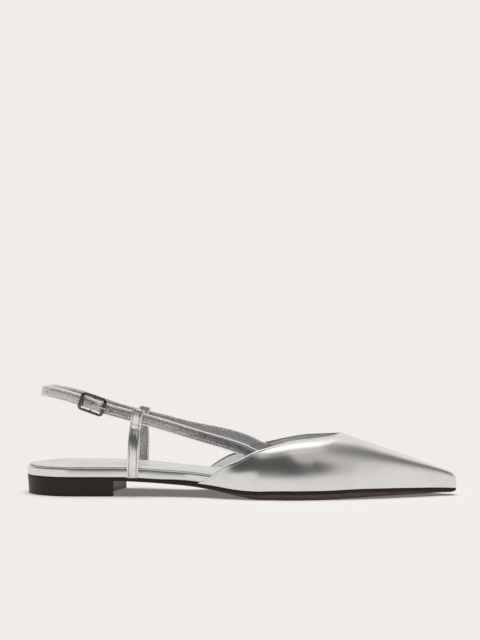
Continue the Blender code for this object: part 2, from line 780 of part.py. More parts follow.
def buckle_frame_points():
    """The frame's middle line: a rectangle with round corners, bowed so that its ends stand up."""
    half_long = BUCKLE_LENGTH / 2 - BUCKLE_RIM
    half_wide = STRAP_WIDTH / 2 + BUCKLE_SIDE_ROOM + BUCKLE_RIM
    points = []
    for sx, sy, first in ((1, 1, 0), (-1, 1, 1), (-1, -1, 2), (1, -1, 3)):
        for i in range(4):
            turn = math.pi / 2 * (first + i / 3)
            x = sx * (half_long - BUCKLE_CORNER) + BUCKLE_CORNER * math.cos(turn)
            y = sy * (half_wide - BUCKLE_CORNER) + BUCKLE_CORNER * math.sin(turn)
            points.append((x, y))
        if first in (0, 2):
            points += [(sx * half_long * k, sy * half_wide) for k in (0.4, 0.0, -0.4)]
    return points, half_long, half_wide


def make_buckle_frame(finish):
    """The frame: square wire round the strap, with a middle bar that the inner strap is folded round."""
    points, half_long, half_wide = buckle_frame_points()
    place, way, normal, up = sling_frame(share_at(BUCKLE_ALONG), OUTER)
    bar_height = bar_lift()
    rings = []
    count = len(points)
    for i, (x, y) in enumerate(points):
        before, after = points[i - 1], points[(i + 1) % count]
        along = Vector((after[0] - before[0], after[1] - before[1])).normalized()
        out = Vector((along.y, -along.x))
        height = bar_height + BUCKLE_BOW * (x / half_long) ** 2
        r, w, c = BUCKLE_WIRE, BUCKLE_RIM, BUCKLE_WIRE * 0.5
        section = (
            (w, c - r), (w, r - c), (w - c, r), (c - w, r),
            (-w, r - c), (-w, c - r), (c - w, -r), (w - c, -r),
        )
        rings.append([
            place + way * (x + out.x * a) + up * (y + out.y * a) + normal * (height + b) for a, b in section
        ])
    rings.append(rings[0])
    frame = loft("buckle_frame", rings, finish, closed_ends=False)
    middle = place + normal * bar_height
    join(frame, cylinder("bar", middle - up * half_wide, middle + up * half_wide, BUCKLE_WIRE, 12))
    return frame


def hook_radius():
    """Middle of the prong's wire where it is hooked round the bar."""
    return BUCKLE_WIRE + GAP + PRONG_WIRE


def through(points, steps):
    """A smooth curve through the points, with the same number of steps between each two."""
    made = []
    last = len(points) - 1
    for i in range(last):
        before = points[max(i - 1, 0)]
        after = points[min(i + 2, last)]
        a, b = points[i], points[i + 1]
        leave, arrive = (b - before) / 2, (after - a) / 2
        for k in range(steps):
            t = k / steps
            made.append(
                a * (2 * t**3 - 3 * t**2 + 1) + leave * (t**3 - 2 * t**2 + t)
                + b * (3 * t**2 - 2 * t**3) + arrive * (t**3 - t**2)
            )
    return made + [points[-1]]


def make_prong(finish):
    """The pin: hooked round the bar, up through the strap's hole, and along to the frame's end bar."""
    place, way, normal, up = sling_frame(share_at(BUCKLE_ALONG), OUTER)
    bar = place + normal * bar_lift()
    hook = hook_radius()
    above = over_bar() - bar_lift() + STRAP_THICKNESS / 2 + GAP + PRONG_WIRE
    rest = frame_lift() - bar_lift() + BUCKLE_WIRE + GAP + PRONG_WIRE
    reach = BUCKLE_LENGTH / 2
    turns = (math.radians(20 - 50 * i) for i in range(6))
    spots = [(hook * math.cos(turn), hook * math.sin(turn)) for turn in turns]
    spots += [(0.0, hook + PRONG_WIRE), (0.0, above - 2 * PRONG_WIRE), (PRONG_WIRE, above)]
    spots += [(reach * 0.5, above + 0.4 * (rest - above)), (reach - BUCKLE_RIM, rest)]
    spots += [(reach + BUCKLE_WIRE, rest - PRONG_WIRE / 2)]
    path = through([bar + way * x + normal * z for x, z in spots], 3)
    rings = []
    last = len(path) - 1
    for i, spot in enumerate(path):
        ahead = (path[min(i + 1, last)] - path[max(i - 1, 0)]).normalized()
        out = ahead.cross(up).normalized()
        turns = [2 * math.pi * k / 8 for k in range(8)]
        rings.append([spot + (up * math.cos(t) + out * math.sin(t)) * PRONG_WIRE for t in turns])
    return loft("buckle_prong", rings, finish)


def main():
    for obj in list(bpy.data.objects):
        bpy.data.objects.remove(obj)
    silver = material("silver_leather", (0.72, 0.72, 0.71), 0.34, 0.9)
    lining = material("silver_lining", (0.78, 0.78, 0.75), 0.45, 0.6)
    black = material("black_sole_edge", (0.02, 0.018, 0.017), 0.45, 0.0)
    heel_black = material("black_heel", (0.022, 0.019, 0.017), 0.35, 0.0)
    steel = material("dark_nickel", (0.35, 0.34, 0.31), 0.25, 1.0)
    make_outsole(black)
    make_heel(heel_black)
    make_board(silver)
    make_insole(lining)
    make_vamp(silver)
    make_sling_outer(silver)
    make_sling_inner(silver)
    make_keeper("keeper_outer", OUTER, silver)
    make_keeper("keeper_inner", INNER, silver)
    make_buckle_frame(steel)
    make_prong(steel)


main()
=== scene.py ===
# %% [markdown]
# # A silver sling back flat
#
# This lesson dresses one right shoe: a pointed vamp, a wrapped board on a thin sole, a low heel, and a
# sling strap with a small buckle. The construction is already there as plain solids. Each one is
# replaced here by a finer mesh in the same place, with turned edges, stitches and leather.

import math

import bmesh
import bpy
from mathutils import Matrix, Vector


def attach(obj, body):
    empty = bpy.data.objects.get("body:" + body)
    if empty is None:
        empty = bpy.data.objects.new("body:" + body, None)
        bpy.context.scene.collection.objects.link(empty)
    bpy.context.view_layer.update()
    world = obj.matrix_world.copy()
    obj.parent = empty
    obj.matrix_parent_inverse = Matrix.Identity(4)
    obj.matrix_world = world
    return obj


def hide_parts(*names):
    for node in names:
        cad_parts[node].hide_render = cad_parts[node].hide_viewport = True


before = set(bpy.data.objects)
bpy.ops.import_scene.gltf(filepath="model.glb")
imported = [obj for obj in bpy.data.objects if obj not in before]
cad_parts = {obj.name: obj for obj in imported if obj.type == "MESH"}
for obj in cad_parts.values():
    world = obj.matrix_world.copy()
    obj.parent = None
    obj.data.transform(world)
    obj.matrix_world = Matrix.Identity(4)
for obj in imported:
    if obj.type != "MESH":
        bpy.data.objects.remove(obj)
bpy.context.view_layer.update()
print("nodes:", ", ".join(sorted(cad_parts)))

# %% [markdown]
# The camera stands as low as the photographer's did, looks level, and turns 3.6 degrees towards the
# toe. A level camera keeps upright edges upright. The shoe is in the lower half of its picture, so the
# lens is a long one: 1505 pixels of focal length on a picture 640 pixels tall.

# %% Place the camera
OUTER, INNER = -1, 1
LENGTH = 0.268
HEEL_CENTRE = 0.030
PICTURE_HEIGHT = 640
FOCAL_PIXELS = 1505
SENSOR = 36.0
CAMERA_AWAY = 0.950
CAMERA_HEIGHT = 0.1083
CAMERA_AHEAD_OF_HEEL = 0.1335
CAMERA_TURN = math.radians(3.6)
CLIP_START = 0.02


def add_object(name, data):
    """A new object in the scene, around its data."""
    made = bpy.data.objects.new(name, data)
    bpy.context.scene.collection.objects.link(made)
    return made


def place_camera():
    right = Vector((math.cos(CAMERA_TURN), math.sin(CAMERA_TURN), 0))
    depth = Vector((-math.sin(CAMERA_TURN), math.cos(CAMERA_TURN), 0))
    lens = bpy.data.cameras.new("photo_camera")
    lens.sensor_width = SENSOR
    lens.lens = FOCAL_PIXELS * SENSOR / PICTURE_HEIGHT
    lens.clip_start = CLIP_START
    camera = add_object("photo_camera", lens)
    turn = Matrix((right, Vector((0, 0, 1)), -depth)).transposed().to_4x4()
    above_back = Vector((-HEEL_CENTRE, 0, CAMERA_HEIGHT))
    turn.translation = above_back + right * CAMERA_AHEAD_OF_HEEL - depth * CAMERA_AWAY
    camera.matrix_world = turn
    bpy.context.scene.camera = camera
    bpy.context.scene.view_settings.view_transform = "Standard"
    return camera


camera = place_camera()
print("camera at", [round(v, 3) for v in camera.location], "lens", round(camera.data.lens, 1), "mm")

# %% [markdown]
# Shader maths reads best as plain expressions. `Wire` wraps one output of a node, and every operator on
# it adds a Math node. `Finish` starts a Principled material and makes any other node by its type.

# %% Wires and finishes


class Wire:
    """A node's output. Arithmetic on it adds Math nodes to the same tree."""

    def __init__(self, tree, output):
        self.tree = tree
        self.output = output

    def maths(self, operation, *values):
        node = self.tree.nodes.new("ShaderNodeMath")
        node.operation = operation
        for socket, value in zip(node.inputs, values):
            connect(self.tree, socket, value)
        return Wire(self.tree, node.outputs[0])

    def __add__(self, other):
        return self.maths("ADD", self, other)

    __radd__ = __add__

    def __sub__(self, other):
        return self.maths("SUBTRACT", self, other)

    def __rsub__(self, other):
        return self.maths("SUBTRACT", other, self)

    def __mul__(self, other):
        return self.maths("MULTIPLY", self, other)

    def between(self, low, high):
        """0 at low, 1 at high, smooth in between. Low may be the greater number."""
        node = self.tree.nodes.new("ShaderNodeMapRange")
        node.interpolation_type = "SMOOTHSTEP"
        rising = low < high
        ends = (low, high, 0.0, 1.0) if rising else (high, low, 1.0, 0.0)
        connect(self.tree, node.inputs["Value"], self)
        for name, value in zip(("From Min", "From Max", "To Min", "To Max"), ends):
            node.inputs[name].default_value = value
        return Wire(self.tree, node.outputs[0])


def connect(tree, socket, value):
    """Links a wire to a socket, or sets the socket's own value."""
    if isinstance(value, Wire):
        tree.links.new(value.output, socket)
    else:
        socket.default_value = value


class Finish:
    """A Principled material under construction."""

    def __init__(self, name, metallic=0.0, **sockets):
        self.material = bpy.data.materials.new(name)
        self.material.use_nodes = True
        self.tree = self.material.node_tree
        self.shader = self.tree.nodes["Principled BSDF"]
        self.feed("Metallic", metallic)
        for socket, value in sockets.items():
            self.feed(socket.replace("_", " "), value)

    def feed(self, socket, value):
        """Sets or links one socket of the Principled shader."""
        connect(self.tree, self.shader.inputs[socket], value)

    def node(self, kind, output=0, sockets=()):
        """Adds a node and gives its sockets their values or wires."""
        made = self.tree.nodes.new(kind)
        for name, value in dict(sockets).items():
            connect(self.tree, made.inputs[name], value)
        return Wire(self.tree, made.outputs[output])

    def place(self, stretch=(1, 1, 1)):
        """The piece's own coordinates, stretched."""
        here = self.node("ShaderNodeTexCoord", "Object")
        return self.node("ShaderNodeMapping", 0, {"Vector": here, "Scale": stretch})

    def noise(self, scale, detail, roughness, stretch=(1, 1, 1)):
        where = self.place(stretch)
        sockets = {"Vector": where, "Scale": scale, "Detail": detail, "Roughness": roughness}
        return self.node("ShaderNodeTexNoise", 0, sockets)

    def cells(self, size):
        """Distance to the nearest cell centre of a leather grain, 0 to about 1."""
        return self.node("ShaderNodeTexVoronoi", "Distance", {"Vector": self.place(), "Scale": 1 / size})

    def along(self):
        """Distance along a strap, from its UV map."""
        return self.node("ShaderNodeSeparateXYZ", 0, {"Vector": self.node("ShaderNodeUVMap")})

    def blend(self, share, first, second):
        """A mix of two colours, which are sockets 6 and 7 of its node."""
        made = self.tree.nodes.new("ShaderNodeMix")
        made.data_type = "RGBA"
        for socket, value in ((0, share), (6, (*first, 1.0)), (7, (*second, 1.0))):
            connect(self.tree, made.inputs[socket], value)
        return Wire(self.tree, made.outputs[2])

    def patches(self, grain, light, dark, edges, rough=None):
        """Lets one noise run the colour from light to dark, and the roughness too. Returns the noise."""
        spread = self.noise(*grain)
        self.feed("Base Color", self.blend(spread.between(*edges), light, dark))
        if rough:
            least, swing = rough
            self.feed("Roughness", least + spread * swing)
        return spread

    def bump(self, height, distance, strength):
        sockets = {"Height": height, "Distance": distance, "Strength": strength}
        self.feed("Normal", self.node("ShaderNodeBump", 0, sockets))


print("shader helpers ready")

# %% [markdown]
# A metallic leather shows little colour of its own. What we see in it is the room, so the room is built
# as a world whose brightness follows the direction. Behind the camera it is dark from just above the
# horizon, and from a little higher on the heel's side: that makes the dark patch on the flank. Towards
# the toe it falls off slowly. At the back it is as pale as the paper, with a soft box high up, which
# lights the edges. Matt surfaces get only a small share of the room, so it leaves the shadow alone.

# %% Build the room
PAPER = (0.879, 0.847, 0.823)
DARK_SIDE = 0.05
TOE_SIDE = 0.62
FAR_TOE_SIDE = 0.22
BACK_ABOVE = 0.36
OVERHEAD = 0.85
SOFT_BOX = 1.6
ROOM_ON_PAPER = 0.12
DARK_EDGE_RISE = 16
LEAN_FROM = 20
LEAN = 0.8
DEGREE = math.pi / 180


def mix(share, first, second):
    """The first value where the share is 0, the second where it is 1."""
    return first + share * (second - first)


def ramp(angle, low, high):
    """0 at one number of degrees, 1 at the other."""
    return angle.between(low * DEGREE, high * DEGREE)


def build_room():
    """A world with a dark side, a toe side, a pale back and a soft box, by azimuth and elevation."""
    world = bpy.data.worlds.new("studio")
    world.use_nodes = True
    tree = world.node_tree
    way = tree.nodes.new("ShaderNodeTexCoord")
    split = tree.nodes.new("ShaderNodeSeparateXYZ")
    tree.links.new(way.outputs["Generated"], split.inputs[0])
    x, y, z = (Wire(tree, output) for output in split.outputs)
    elevation = z.maths("ARCSINE", z)
    azimuth = x.maths("ARCTAN2", x, 0 - y)
    away = azimuth.maths("ABSOLUTE", azimuth)

    above_edge = elevation - ramp(azimuth, -7, -18) * (DARK_EDGE_RISE * DEGREE)
    dark = mix(ramp(above_edge, -8, 6), 1.0, DARK_SIDE)
    above_lean = elevation - LEAN_FROM * DEGREE
    lean = above_lean.maths("MAXIMUM", above_lean, 0.0) * LEAN
    far_toe = mix(ramp(azimuth, 30, 75), TOE_SIDE, FAR_TOE_SIDE)
    toe = mix(ramp(elevation, 4, 46), 1.0, far_toe)
    front = mix(ramp(azimuth + lean, 27, 39), dark, toe)
    low_back = mix(ramp(elevation, 20, 62), 1.0, BACK_ABOVE)
    behind = x.maths("ARCTAN2", x, y)
    box = ramp(behind, 22, 2) * ramp(behind, -56, -40)
    box = box * ramp(elevation, 30, 44) * ramp(elevation, 80, 66)
    back = mix(box, low_back, SOFT_BOX)
    level = mix(ramp(away, 115, 150), front, back)
    level = mix(ramp(elevation, 66, 90), level, OVERHEAD)
    rays = tree.nodes.new("ShaderNodeLightPath")
    diffuse = Wire(tree, rays.outputs["Is Diffuse Ray"])
    level = level * mix(diffuse, 1.0, ROOM_ON_PAPER)
    background = tree.nodes["Background"]
    background.inputs["Color"].default_value = (*PAPER, 1.0)
    tree.links.new(level.output, background.inputs["Strength"])
    bpy.context.scene.world = world


build_room()
print("room: dark side", DARK_SIDE, "toe side", TOE_SIDE, "soft box", SOFT_BOX)

# %% [markdown]
# The shoe stands on the same pale paper as its background, and only its own soft shadow tells where the
# ground is. A broad lamp straight above, a sun with a wide disc, and a weak glow of the paper make the
# paper as bright as the background. The glow keeps the shadow from going black. A second broad lamp, on
# the camera's side, fills in the shoe and leaves out the paper. Both lamps stay out of reflections,
# because the room has its own soft box.

# %% Lay the paper and hang the lamps
STAGE_CENTRE = 0.1
PAPER_SIZE = 60.0
PAPER_BELOW = 0.00005
FLOOR_COLOUR = (0.80, 0.772, 0.752)
PAPER_GLOW = (0.155, 0.151, 0.147)
LAMP_POWER = 2.62
LAMP_DISC = 45
FILL_POWER = 2.3
FILL_DISC = 100
FILL_TURN = 60 * DEGREE
LAMP_HEIGHT = 1.5


def lay_paper():
    bpy.ops.mesh.primitive_plane_add(size=PAPER_SIZE, location=(STAGE_CENTRE, 0, -PAPER_BELOW))
    floor = bpy.context.object
    floor.name = "paper_floor"
    paper = Finish("paper", Base_Color=(*FLOOR_COLOUR, 1.0), Roughness=0.9, Specular_IOR_Level=0.0)
    paper.feed("Emission Color", (*PAPER_GLOW, 1.0))
    paper.feed("Emission Strength", 1.0)
    floor.data.materials.append(paper.material)
    return floor


def hang_sun(name, power, disc, turn):
    """A broad, even lamp that stays out of reflections. It shines down until it is turned."""
    lamp = bpy.data.lights.new(name, "SUN")
    lamp.energy = power
    lamp.angle = disc * DEGREE
    hung = add_object(name, lamp)
    hung.location = (STAGE_CENTRE, 0, LAMP_HEIGHT)
    hung.rotation_euler = turn
    hung.visible_glossy = False
    return hung


def keep_off(hung, floor):
    """Leaves the paper out of a lamp's light."""
    left_out = bpy.data.collections.new("left_out")
    left_out.objects.link(floor)
    left_out.collection_objects[0].light_linking.link_state = "EXCLUDE"
    hung.light_linking.receiver_collection = left_out


floor = lay_paper()
hang_sun("overhead_lamp", LAMP_POWER, LAMP_DISC, (0, 0, 0))
keep_off(hang_sun("fill_lamp", FILL_POWER, FILL_DISC, (FILL_TURN, 0, 0)), floor)
print("lamps", LAMP_POWER, "and", FILL_POWER, "W per square metre")

# %% [markdown]
# ## Leathers, edges and metal
#
# The upper is a smooth coated leather: mostly metal in the shader's terms, rough enough to blur the room,
# with a faint pore. The straps are the same skin split thinner, and show more grain. The sole's edge is
# painted black, and its bevel and underside are brown.

# %% Make the finishes
STRAP_RIB = 0.0010
PAINTED_HEEL_LIGHT_FROM = 0.025
GRAIN_UNDER_PAINTED_HEEL_LIGHT = 0.45


def silver_upper():
    """Smooth silver leather of the vamp and of the board's wrapped edge."""
    leather = Finish("silver_upper", 0.96, Coat_Weight=0.06, Coat_Roughness=0.25)
    leather.patches((55, 4, 0.6), (0.79, 0.79, 0.78), (0.73, 0.735, 0.735), (0.3, 0.75), (0.19, 0.1))
    pores = leather.cells(0.0007)
    slow = leather.noise(95, 2, 0.4)
    ripples = leather.noise(230, 2, 0.5, (1.6, 0.6, 0.3))
    leather.bump(pores * 0.3 + slow * 1.2 + ripples * 0.7, 0.00008, 0.5)
    return leather.material


def silver_strap():
    """Grainier silver leather of the straps: fine ribs across, dark in the pores, and paler round the heel,
    which paints light on the strap's back.
    """
    leather = Finish("silver_strap", 0.95)
    grain = leather.cells(0.0005)
    patches = leather.noise(650, 4, 0.7)
    phase = leather.along() * (2 * math.pi / STRAP_RIB) + patches * 3
    ribs = phase.maths("SINE", phase)
    here = leather.node("ShaderNodeTexCoord", "Object")
    # Round the back of the heel the dark grain is thinned out: painted light on the strap
    heel_light_share = leather.node("ShaderNodeSeparateXYZ", 0, {"Vector": here}).between(PAINTED_HEEL_LIGHT_FROM, 0.0)
    grain_and_painted_heel_light = (grain * 0.8 + patches * 0.8 + ribs * 0.12).between(0.35, 1.05) * mix(heel_light_share, 1.0, GRAIN_UNDER_PAINTED_HEEL_LIGHT)
    leather.feed("Base Color", leather.blend(grain_and_painted_heel_light, (0.86, 0.855, 0.85), (0.24, 0.235, 0.24)))
    leather.feed("Roughness", 0.24 + patches * 0.16)
    leather.bump(grain + patches * 0.8 + ribs * 0.5, 0.00006, 0.7)
    return leather.material


def keeper_silver():
    """Smooth silver of the keepers, a little wavy across the strap."""
    leather = Finish("keeper_silver", 0.96)
    light, dark = (0.85, 0.845, 0.835), (0.74, 0.74, 0.73)
    cloud = leather.patches((300, 3, 0.6), light, dark, (0.35, 0.75), (0.18, 0.14))
    waves = leather.noise(260, 2, 0.5, (0.3, 0.3, 3))
    leather.bump(waves + cloud * 0.5, 0.00004, 0.5)
    return leather.material


def silver_lining(name, light, dark):
    """Pale lining of the vamp or the sock: less metal, softer."""
    lining = Finish(name, 0.2)
    cloud = lining.patches((60, 3, 0.6), light, dark, (0.3, 0.75), (0.42, 0.16))
    lining.bump(lining.cells(0.0008) + cloud, 0.00006, 0.5)
    return lining.material


def thread():
    """Silver thread with a fine twist."""
    yarn = Finish("silver_thread", 0.35, Base_Color=(0.55, 0.55, 0.53, 1.0))
    twist = yarn.noise(3000, 2, 0.5)
    yarn.feed("Roughness", 0.4 + twist * 0.2)
    yarn.bump(twist, 0.00003, 0.8)
    return yarn.material


def plain(name, light, dark, grain, edges, rough, relief, metallic=0.0, **sockets):
    """A finish whose colour and relief, and roughness where it is given, follow one noise."""
    finish = Finish(name, metallic, **sockets)
    finish.bump(finish.patches(grain, light, dark, edges, rough), *relief)
    return finish.material


def nickel(name, light, dark):
    """Cast metal of the buckle, worn in patches."""
    return plain(name, light, dark, (700, 3, 0.6), (0.35, 0.75), (0.14, 0.2), (0.00002, 0.4), 1.0)


UPPER = silver_upper()
STRAP = silver_strap()
KEEPER = keeper_silver()
# The vamp's lining is the same leather as the sock, given a paler colour that paints light falling inside the
# shoe
LINING_WITH_PAINTED_LIGHT = silver_lining("silver_lining", (0.92, 0.92, 0.90), (0.85, 0.85, 0.83))
SOCK = silver_lining("silver_sock", (0.60, 0.60, 0.58), (0.54, 0.54, 0.52))
THREAD = thread()
NICKEL = nickel("dark_nickel", (0.16, 0.155, 0.145), (0.08, 0.078, 0.075))
PRONG_NICKEL = nickel("pale_nickel", (0.80, 0.79, 0.75), (0.62, 0.61, 0.58))

# Dark grey lining on the inside of the sling strap. On the covers over the straps' ends the same grey paints
# the shade inside the shoe
INSIDE = plain(
    "strap_lining_and_cover_shade", (0.46, 0.45, 0.46), (0.26, 0.255, 0.26),
    (900, 4, 0.7), (0.3, 0.7), (0.4, 0.25), (0.00006, 0.5), 0.7,
)
# The turned edges, smoother than the faces; their brighter colour is a painted highlight along the rounded
# edge
PAINTED_RIM_HIGHLIGHT = plain(
    "rim_painted_highlight", (0.92, 0.915, 0.905), (0.70, 0.70, 0.69),
    (800, 3, 0.6), (0.4, 0.8), (0.16, 0.14), (0.00002, 0.5), 0.5,
)
# Leather in the channel of a seam: the same silver, darkened to paint the shade in the channel
PAINTED_SEAM_SHADE = plain(
    "seam_painted_shade", (0.20, 0.195, 0.19), (0.10, 0.095, 0.09),
    (1200, 3, 0.6), (0.3, 0.7), None, (0.00003, 0.5), 0.8, Roughness=0.45,
)
# Black edge paint over the leather sole, with the faint waves of a brush
EDGE = plain(
    "edge_paint", (0.008, 0.007, 0.007), (0.017, 0.014, 0.013),
    (260, 3, 0.6, (1, 1, 5)), (0.35, 0.75), (0.34, 0.2), (0.00008, 0.6), Specular_IOR_Level=0.25,
)
# Dark brown bevel and underside of the sole, a little scuffed along the flesh side
BROWN = plain(
    "brown_sole", (0.085, 0.050, 0.038), (0.045, 0.028, 0.023),
    (180, 5, 0.65, (0.5, 1.3, 1)), (0.3, 0.75), (0.45, 0.25), (0.0001, 0.6), Specular_IOR_Level=0.25,
)
# Black lacquered block, a touch brown where the light rakes it
HEEL = plain(
    "black_heel", (0.010, 0.008, 0.007), (0.017, 0.013, 0.011),
    (130, 4, 0.6, (1, 1, 3)), (0.3, 0.8), (0.34, 0.18), (0.00005, 0.5), Specular_IOR_Level=0.25,
)
# The breast, duller than the lacquer, with a paler colour that paints the light falling on it
BREAST_PAINTED_LIGHT = plain(
    "heel_breast_painted_light", (0.115, 0.102, 0.093), (0.075, 0.065, 0.058),
    (220, 4, 0.6), (0.3, 0.8), None, (0.00006, 0.5), 0.3, Roughness=0.4, Specular_IOR_Level=0.5,
)
print("finishes:", ", ".join(m.name for m in bpy.data.materials))

# %% [markdown]
# ## The last
#
# Every form of the shoe follows the last it was pulled over. A few short tables hold its outline, the
# height of its underside and the topline, as shares of named sizes, and a smooth curve runs through them.

# %% Sizes and tables of the last
HEEL_ROUND = 0.030
THROAT_ALONG = 0.1963
VAMP_REAR = {OUTER: 0.1095, INNER: 0.1040}
FLAT_START = 0.148
FLAT_END = 0.184
TOE_NOSE = 0.004
RIDGE_END = 0.0105
HEEL_HALF_WIDTH = 0.0252
WAIST_HALF_WIDTH = 0.0205
BALL_HALF_WIDTH = 0.0385
SEAT_HEIGHT = 0.0116
THROAT_HEIGHT = 0.0384
RIDGE_END_HEIGHT = 0.0172
THROAT_DIP = 0.0028
THROAT_BLEND = 0.018
THROAT_OFFSET = 0.0020
THROAT_OPEN = 0.0009
TOE_SPRING = 0.0020
TOE_ROUND = 0.0012
WAIST_SOLE = 0.0022
BALL_SOLE = 0.0054
GAP = 0.0003
SEAT_UNDERSIDE = SEAT_HEIGHT - WAIST_SOLE

# Share of LENGTH, outer and inner half width as shares of the size at the end of the row
OUTLINE = [
    (0.000, 0.96, 0.96, HEEL_HALF_WIDTH),
    (0.112, 1.00, 1.00, HEEL_HALF_WIDTH),
    (0.213, 0.95, 0.99, HEEL_HALF_WIDTH),
    (0.300, 1.11, 1.05, WAIST_HALF_WIDTH),
    (0.373, 1.15, 0.89, WAIST_HALF_WIDTH),
    (0.430, 1.32, 0.99, WAIST_HALF_WIDTH),
    (0.485, 0.85, 0.70, BALL_HALF_WIDTH),
    (0.552, 0.96, 0.89, BALL_HALF_WIDTH),
    (0.620, 0.985, 0.995, BALL_HALF_WIDTH),
    (0.680, 0.915, 1.01, BALL_HALF_WIDTH),
    (0.754, 0.775, 0.885, BALL_HALF_WIDTH),
    (0.821, 0.615, 0.700, BALL_HALF_WIDTH),
    (0.892, 0.412, 0.462, BALL_HALF_WIDTH),
    (0.963, 0.182, 0.198, BALL_HALF_WIDTH),
    (1.000, 0.098, 0.098, BALL_HALF_WIDTH),
]

# Share of LENGTH, height of the underside as a share of the size at the end of the row
UNDERSIDE = [
    (0.000, 1.00, SEAT_UNDERSIDE),
    (0.225, 1.00, SEAT_UNDERSIDE),
    (0.275, 0.945, SEAT_UNDERSIDE),
    (0.330, 0.845, SEAT_UNDERSIDE),
    (0.390, 0.710, SEAT_UNDERSIDE),
    (0.430, 0.570, SEAT_UNDERSIDE),
    (0.485, 0.290, SEAT_UNDERSIDE),
    (0.525, 0.080, SEAT_UNDERSIDE),
    (FLAT_START / LENGTH, 0.00, TOE_SPRING),
    (FLAT_END / LENGTH, 0.00, TOE_SPRING),
    (0.754, 0.34, TOE_SPRING),
    (0.821, 0.64, TOE_SPRING),
    (0.892, 0.85, TOE_SPRING),
    (0.963, 0.97, TOE_SPRING),
    (1.000, 1.00, TOE_SPRING),
]

# Share of LENGTH, thickness of the sole as a share of the size at the end of the row
SOLE_THICKNESS = [
    (0.000, 1.00, WAIST_SOLE),
    (0.390, 1.00, WAIST_SOLE),
    (0.485, 0.60, BALL_SOLE),
    (0.552, 0.92, BALL_SOLE),
    (0.620, 1.00, BALL_SOLE),
    (0.754, 0.96, BALL_SOLE),
    (0.821, 0.85, BALL_SOLE),
    (0.892, 0.71, BALL_SOLE),
    (0.963, 0.54, BALL_SOLE),
    (1.000, 0.42, BALL_SOLE),
]

# Share of the way from the vamp's rear corner to the throat, rise, spread as a share of the sole
TOPLINE = [
    (0.000, 0.000, 1.000),
    (0.070, 0.126, 1.010),
    (0.145, 0.313, 1.010),
    (0.218, 0.457, 0.975),
    (0.293, 0.556, 0.925),
    (0.360, 0.647, 0.860),
    (0.415, 0.710, 0.785),
    (0.500, 0.766, 0.655),
    (0.570, 0.813, 0.560),
    (0.640, 0.860, 0.483),
    (0.710, 0.901, 0.418),
    (0.780, 0.928, 0.390),
    (0.853, 0.941, 0.372),
    (0.925, 0.953, 0.315),
    (0.970, 0.971, 0.205),
    (0.990, 0.988, 0.100),
    (1.000, 1.000, 0.000),
]

# Share of LENGTH, then lengths of a rib's two handles, its swell and its shoulder drop
RIBS = [
    (0.400, 0.50, 0.90, 0.060, 0.40),
    (0.500, 0.50, 0.90, 0.070, 0.34),
    (0.552, 0.50, 0.90, 0.065, 0.16),
    (0.620, 0.52, 0.90, 0.060, 0.05),
    (0.754, 0.74, 0.86, 0.045, 0.03),
    (0.892, 0.90, 0.92, 0.035, 0.02),
    (0.963, 0.84, 0.90, 0.035, 0.02),
    (1.000, 0.70, 0.88, 0.050, 0.02),
]


def smooth(xs, ys, x):
    """Monotone cubic through the points, so that a flat stretch stays flat and nothing overshoots."""
    if x <= xs[0]:
        return ys[0]
    if x >= xs[-1]:
        return ys[-1]
    slopes = [(ys[i + 1] - ys[i]) / (xs[i + 1] - xs[i]) for i in range(len(xs) - 1)]

    def tangent(i):
        if i in (0, len(xs) - 1):
            return slopes[min(i, len(slopes) - 1)]
        before, after = slopes[i - 1], slopes[i]
        return 0.0 if before * after <= 0 else 2 * before * after / (before + after)

    i = max(k for k in range(len(xs) - 1) if xs[k] <= x)
    step = xs[i + 1] - xs[i]
    t = (x - xs[i]) / step
    return (
        ys[i] * (1 + 2 * t) * (1 - t) ** 2
        + tangent(i) * step * t * (1 - t) ** 2
        + ys[i + 1] * t * t * (3 - 2 * t)
        + tangent(i + 1) * step * t * t * (t - 1)
    )


def from_table(table, index, share):
    """A column at a share of the way, times the row's size where the table has sizes."""
    sized = table in (OUTLINE, UNDERSIDE, SOLE_THICKNESS)
    column = [row[index] * (row[-1] if sized else 1.0) for row in table]
    return smooth([row[0] for row in table], column, share)


def ease(t):
    """0 before 0, 1 after 1, and a smooth step between."""
    t = max(0.0, min(1.0, t))
    return t * t * (3 - 2 * t)


def bridge(a, leave, b, arrive, t):
    """A cubic from a to b, leaving and arriving in given directions."""
    return (
        a * (2 * t**3 - 3 * t**2 + 1) + leave * (t**3 - 2 * t**2 + t)
        + b * (3 * t**2 - 2 * t**3) + arrive * (t**3 - t**2)
    )


print("tables:", len(OUTLINE), "rows of outline,", len(TOPLINE), "of topline")

# %% [markdown]
# The outline is read at any distance from the heel, with a round heel and a small round nose. `edge`
# gives a point of it, moved inwards by a distance along the outline's own normal.

# %% Read the outline


def half_width(along, side):
    width = from_table(OUTLINE, 1 if side == OUTER else 2, along / LENGTH)
    if along < HEEL_ROUND:
        width *= math.sqrt(max(0.0, 1 - (1 - along / HEEL_ROUND) ** 2))
    left = max(0.0, LENGTH - along)
    return width * math.sqrt(max(0.0, 1 - (TOE_NOSE / (left + TOE_NOSE)) ** 2))


def plan_point(turn, side):
    along = LENGTH * (1 - math.cos(turn)) / 2
    return Vector((along - HEEL_CENTRE, side * half_width(along, side)))


def plan_normal(along, side):
    """The outline's outward normal, straight back or ahead at its two ends."""
    turn = math.acos(max(-1.0, min(1.0, 1 - 2 * along / LENGTH)))
    step = 0.004
    if turn < step:
        return Vector((-1, 0))
    if turn > math.pi - step:
        return Vector((1, 0))
    way = plan_point(turn + step, side) - plan_point(turn - step, side)
    return Vector((-side * way.y, side * way.x)).normalized()


def edge(along, side, inset=0.0):
    point = Vector((along - HEEL_CENTRE, side * half_width(along, side)))
    return point - plan_normal(along, side) * inset


def underside(along):
    return from_table(UNDERSIDE, 1, along / LENGTH)


def sole_top(along):
    return underside(along) + from_table(SOLE_THICKNESS, 1, along / LENGTH)


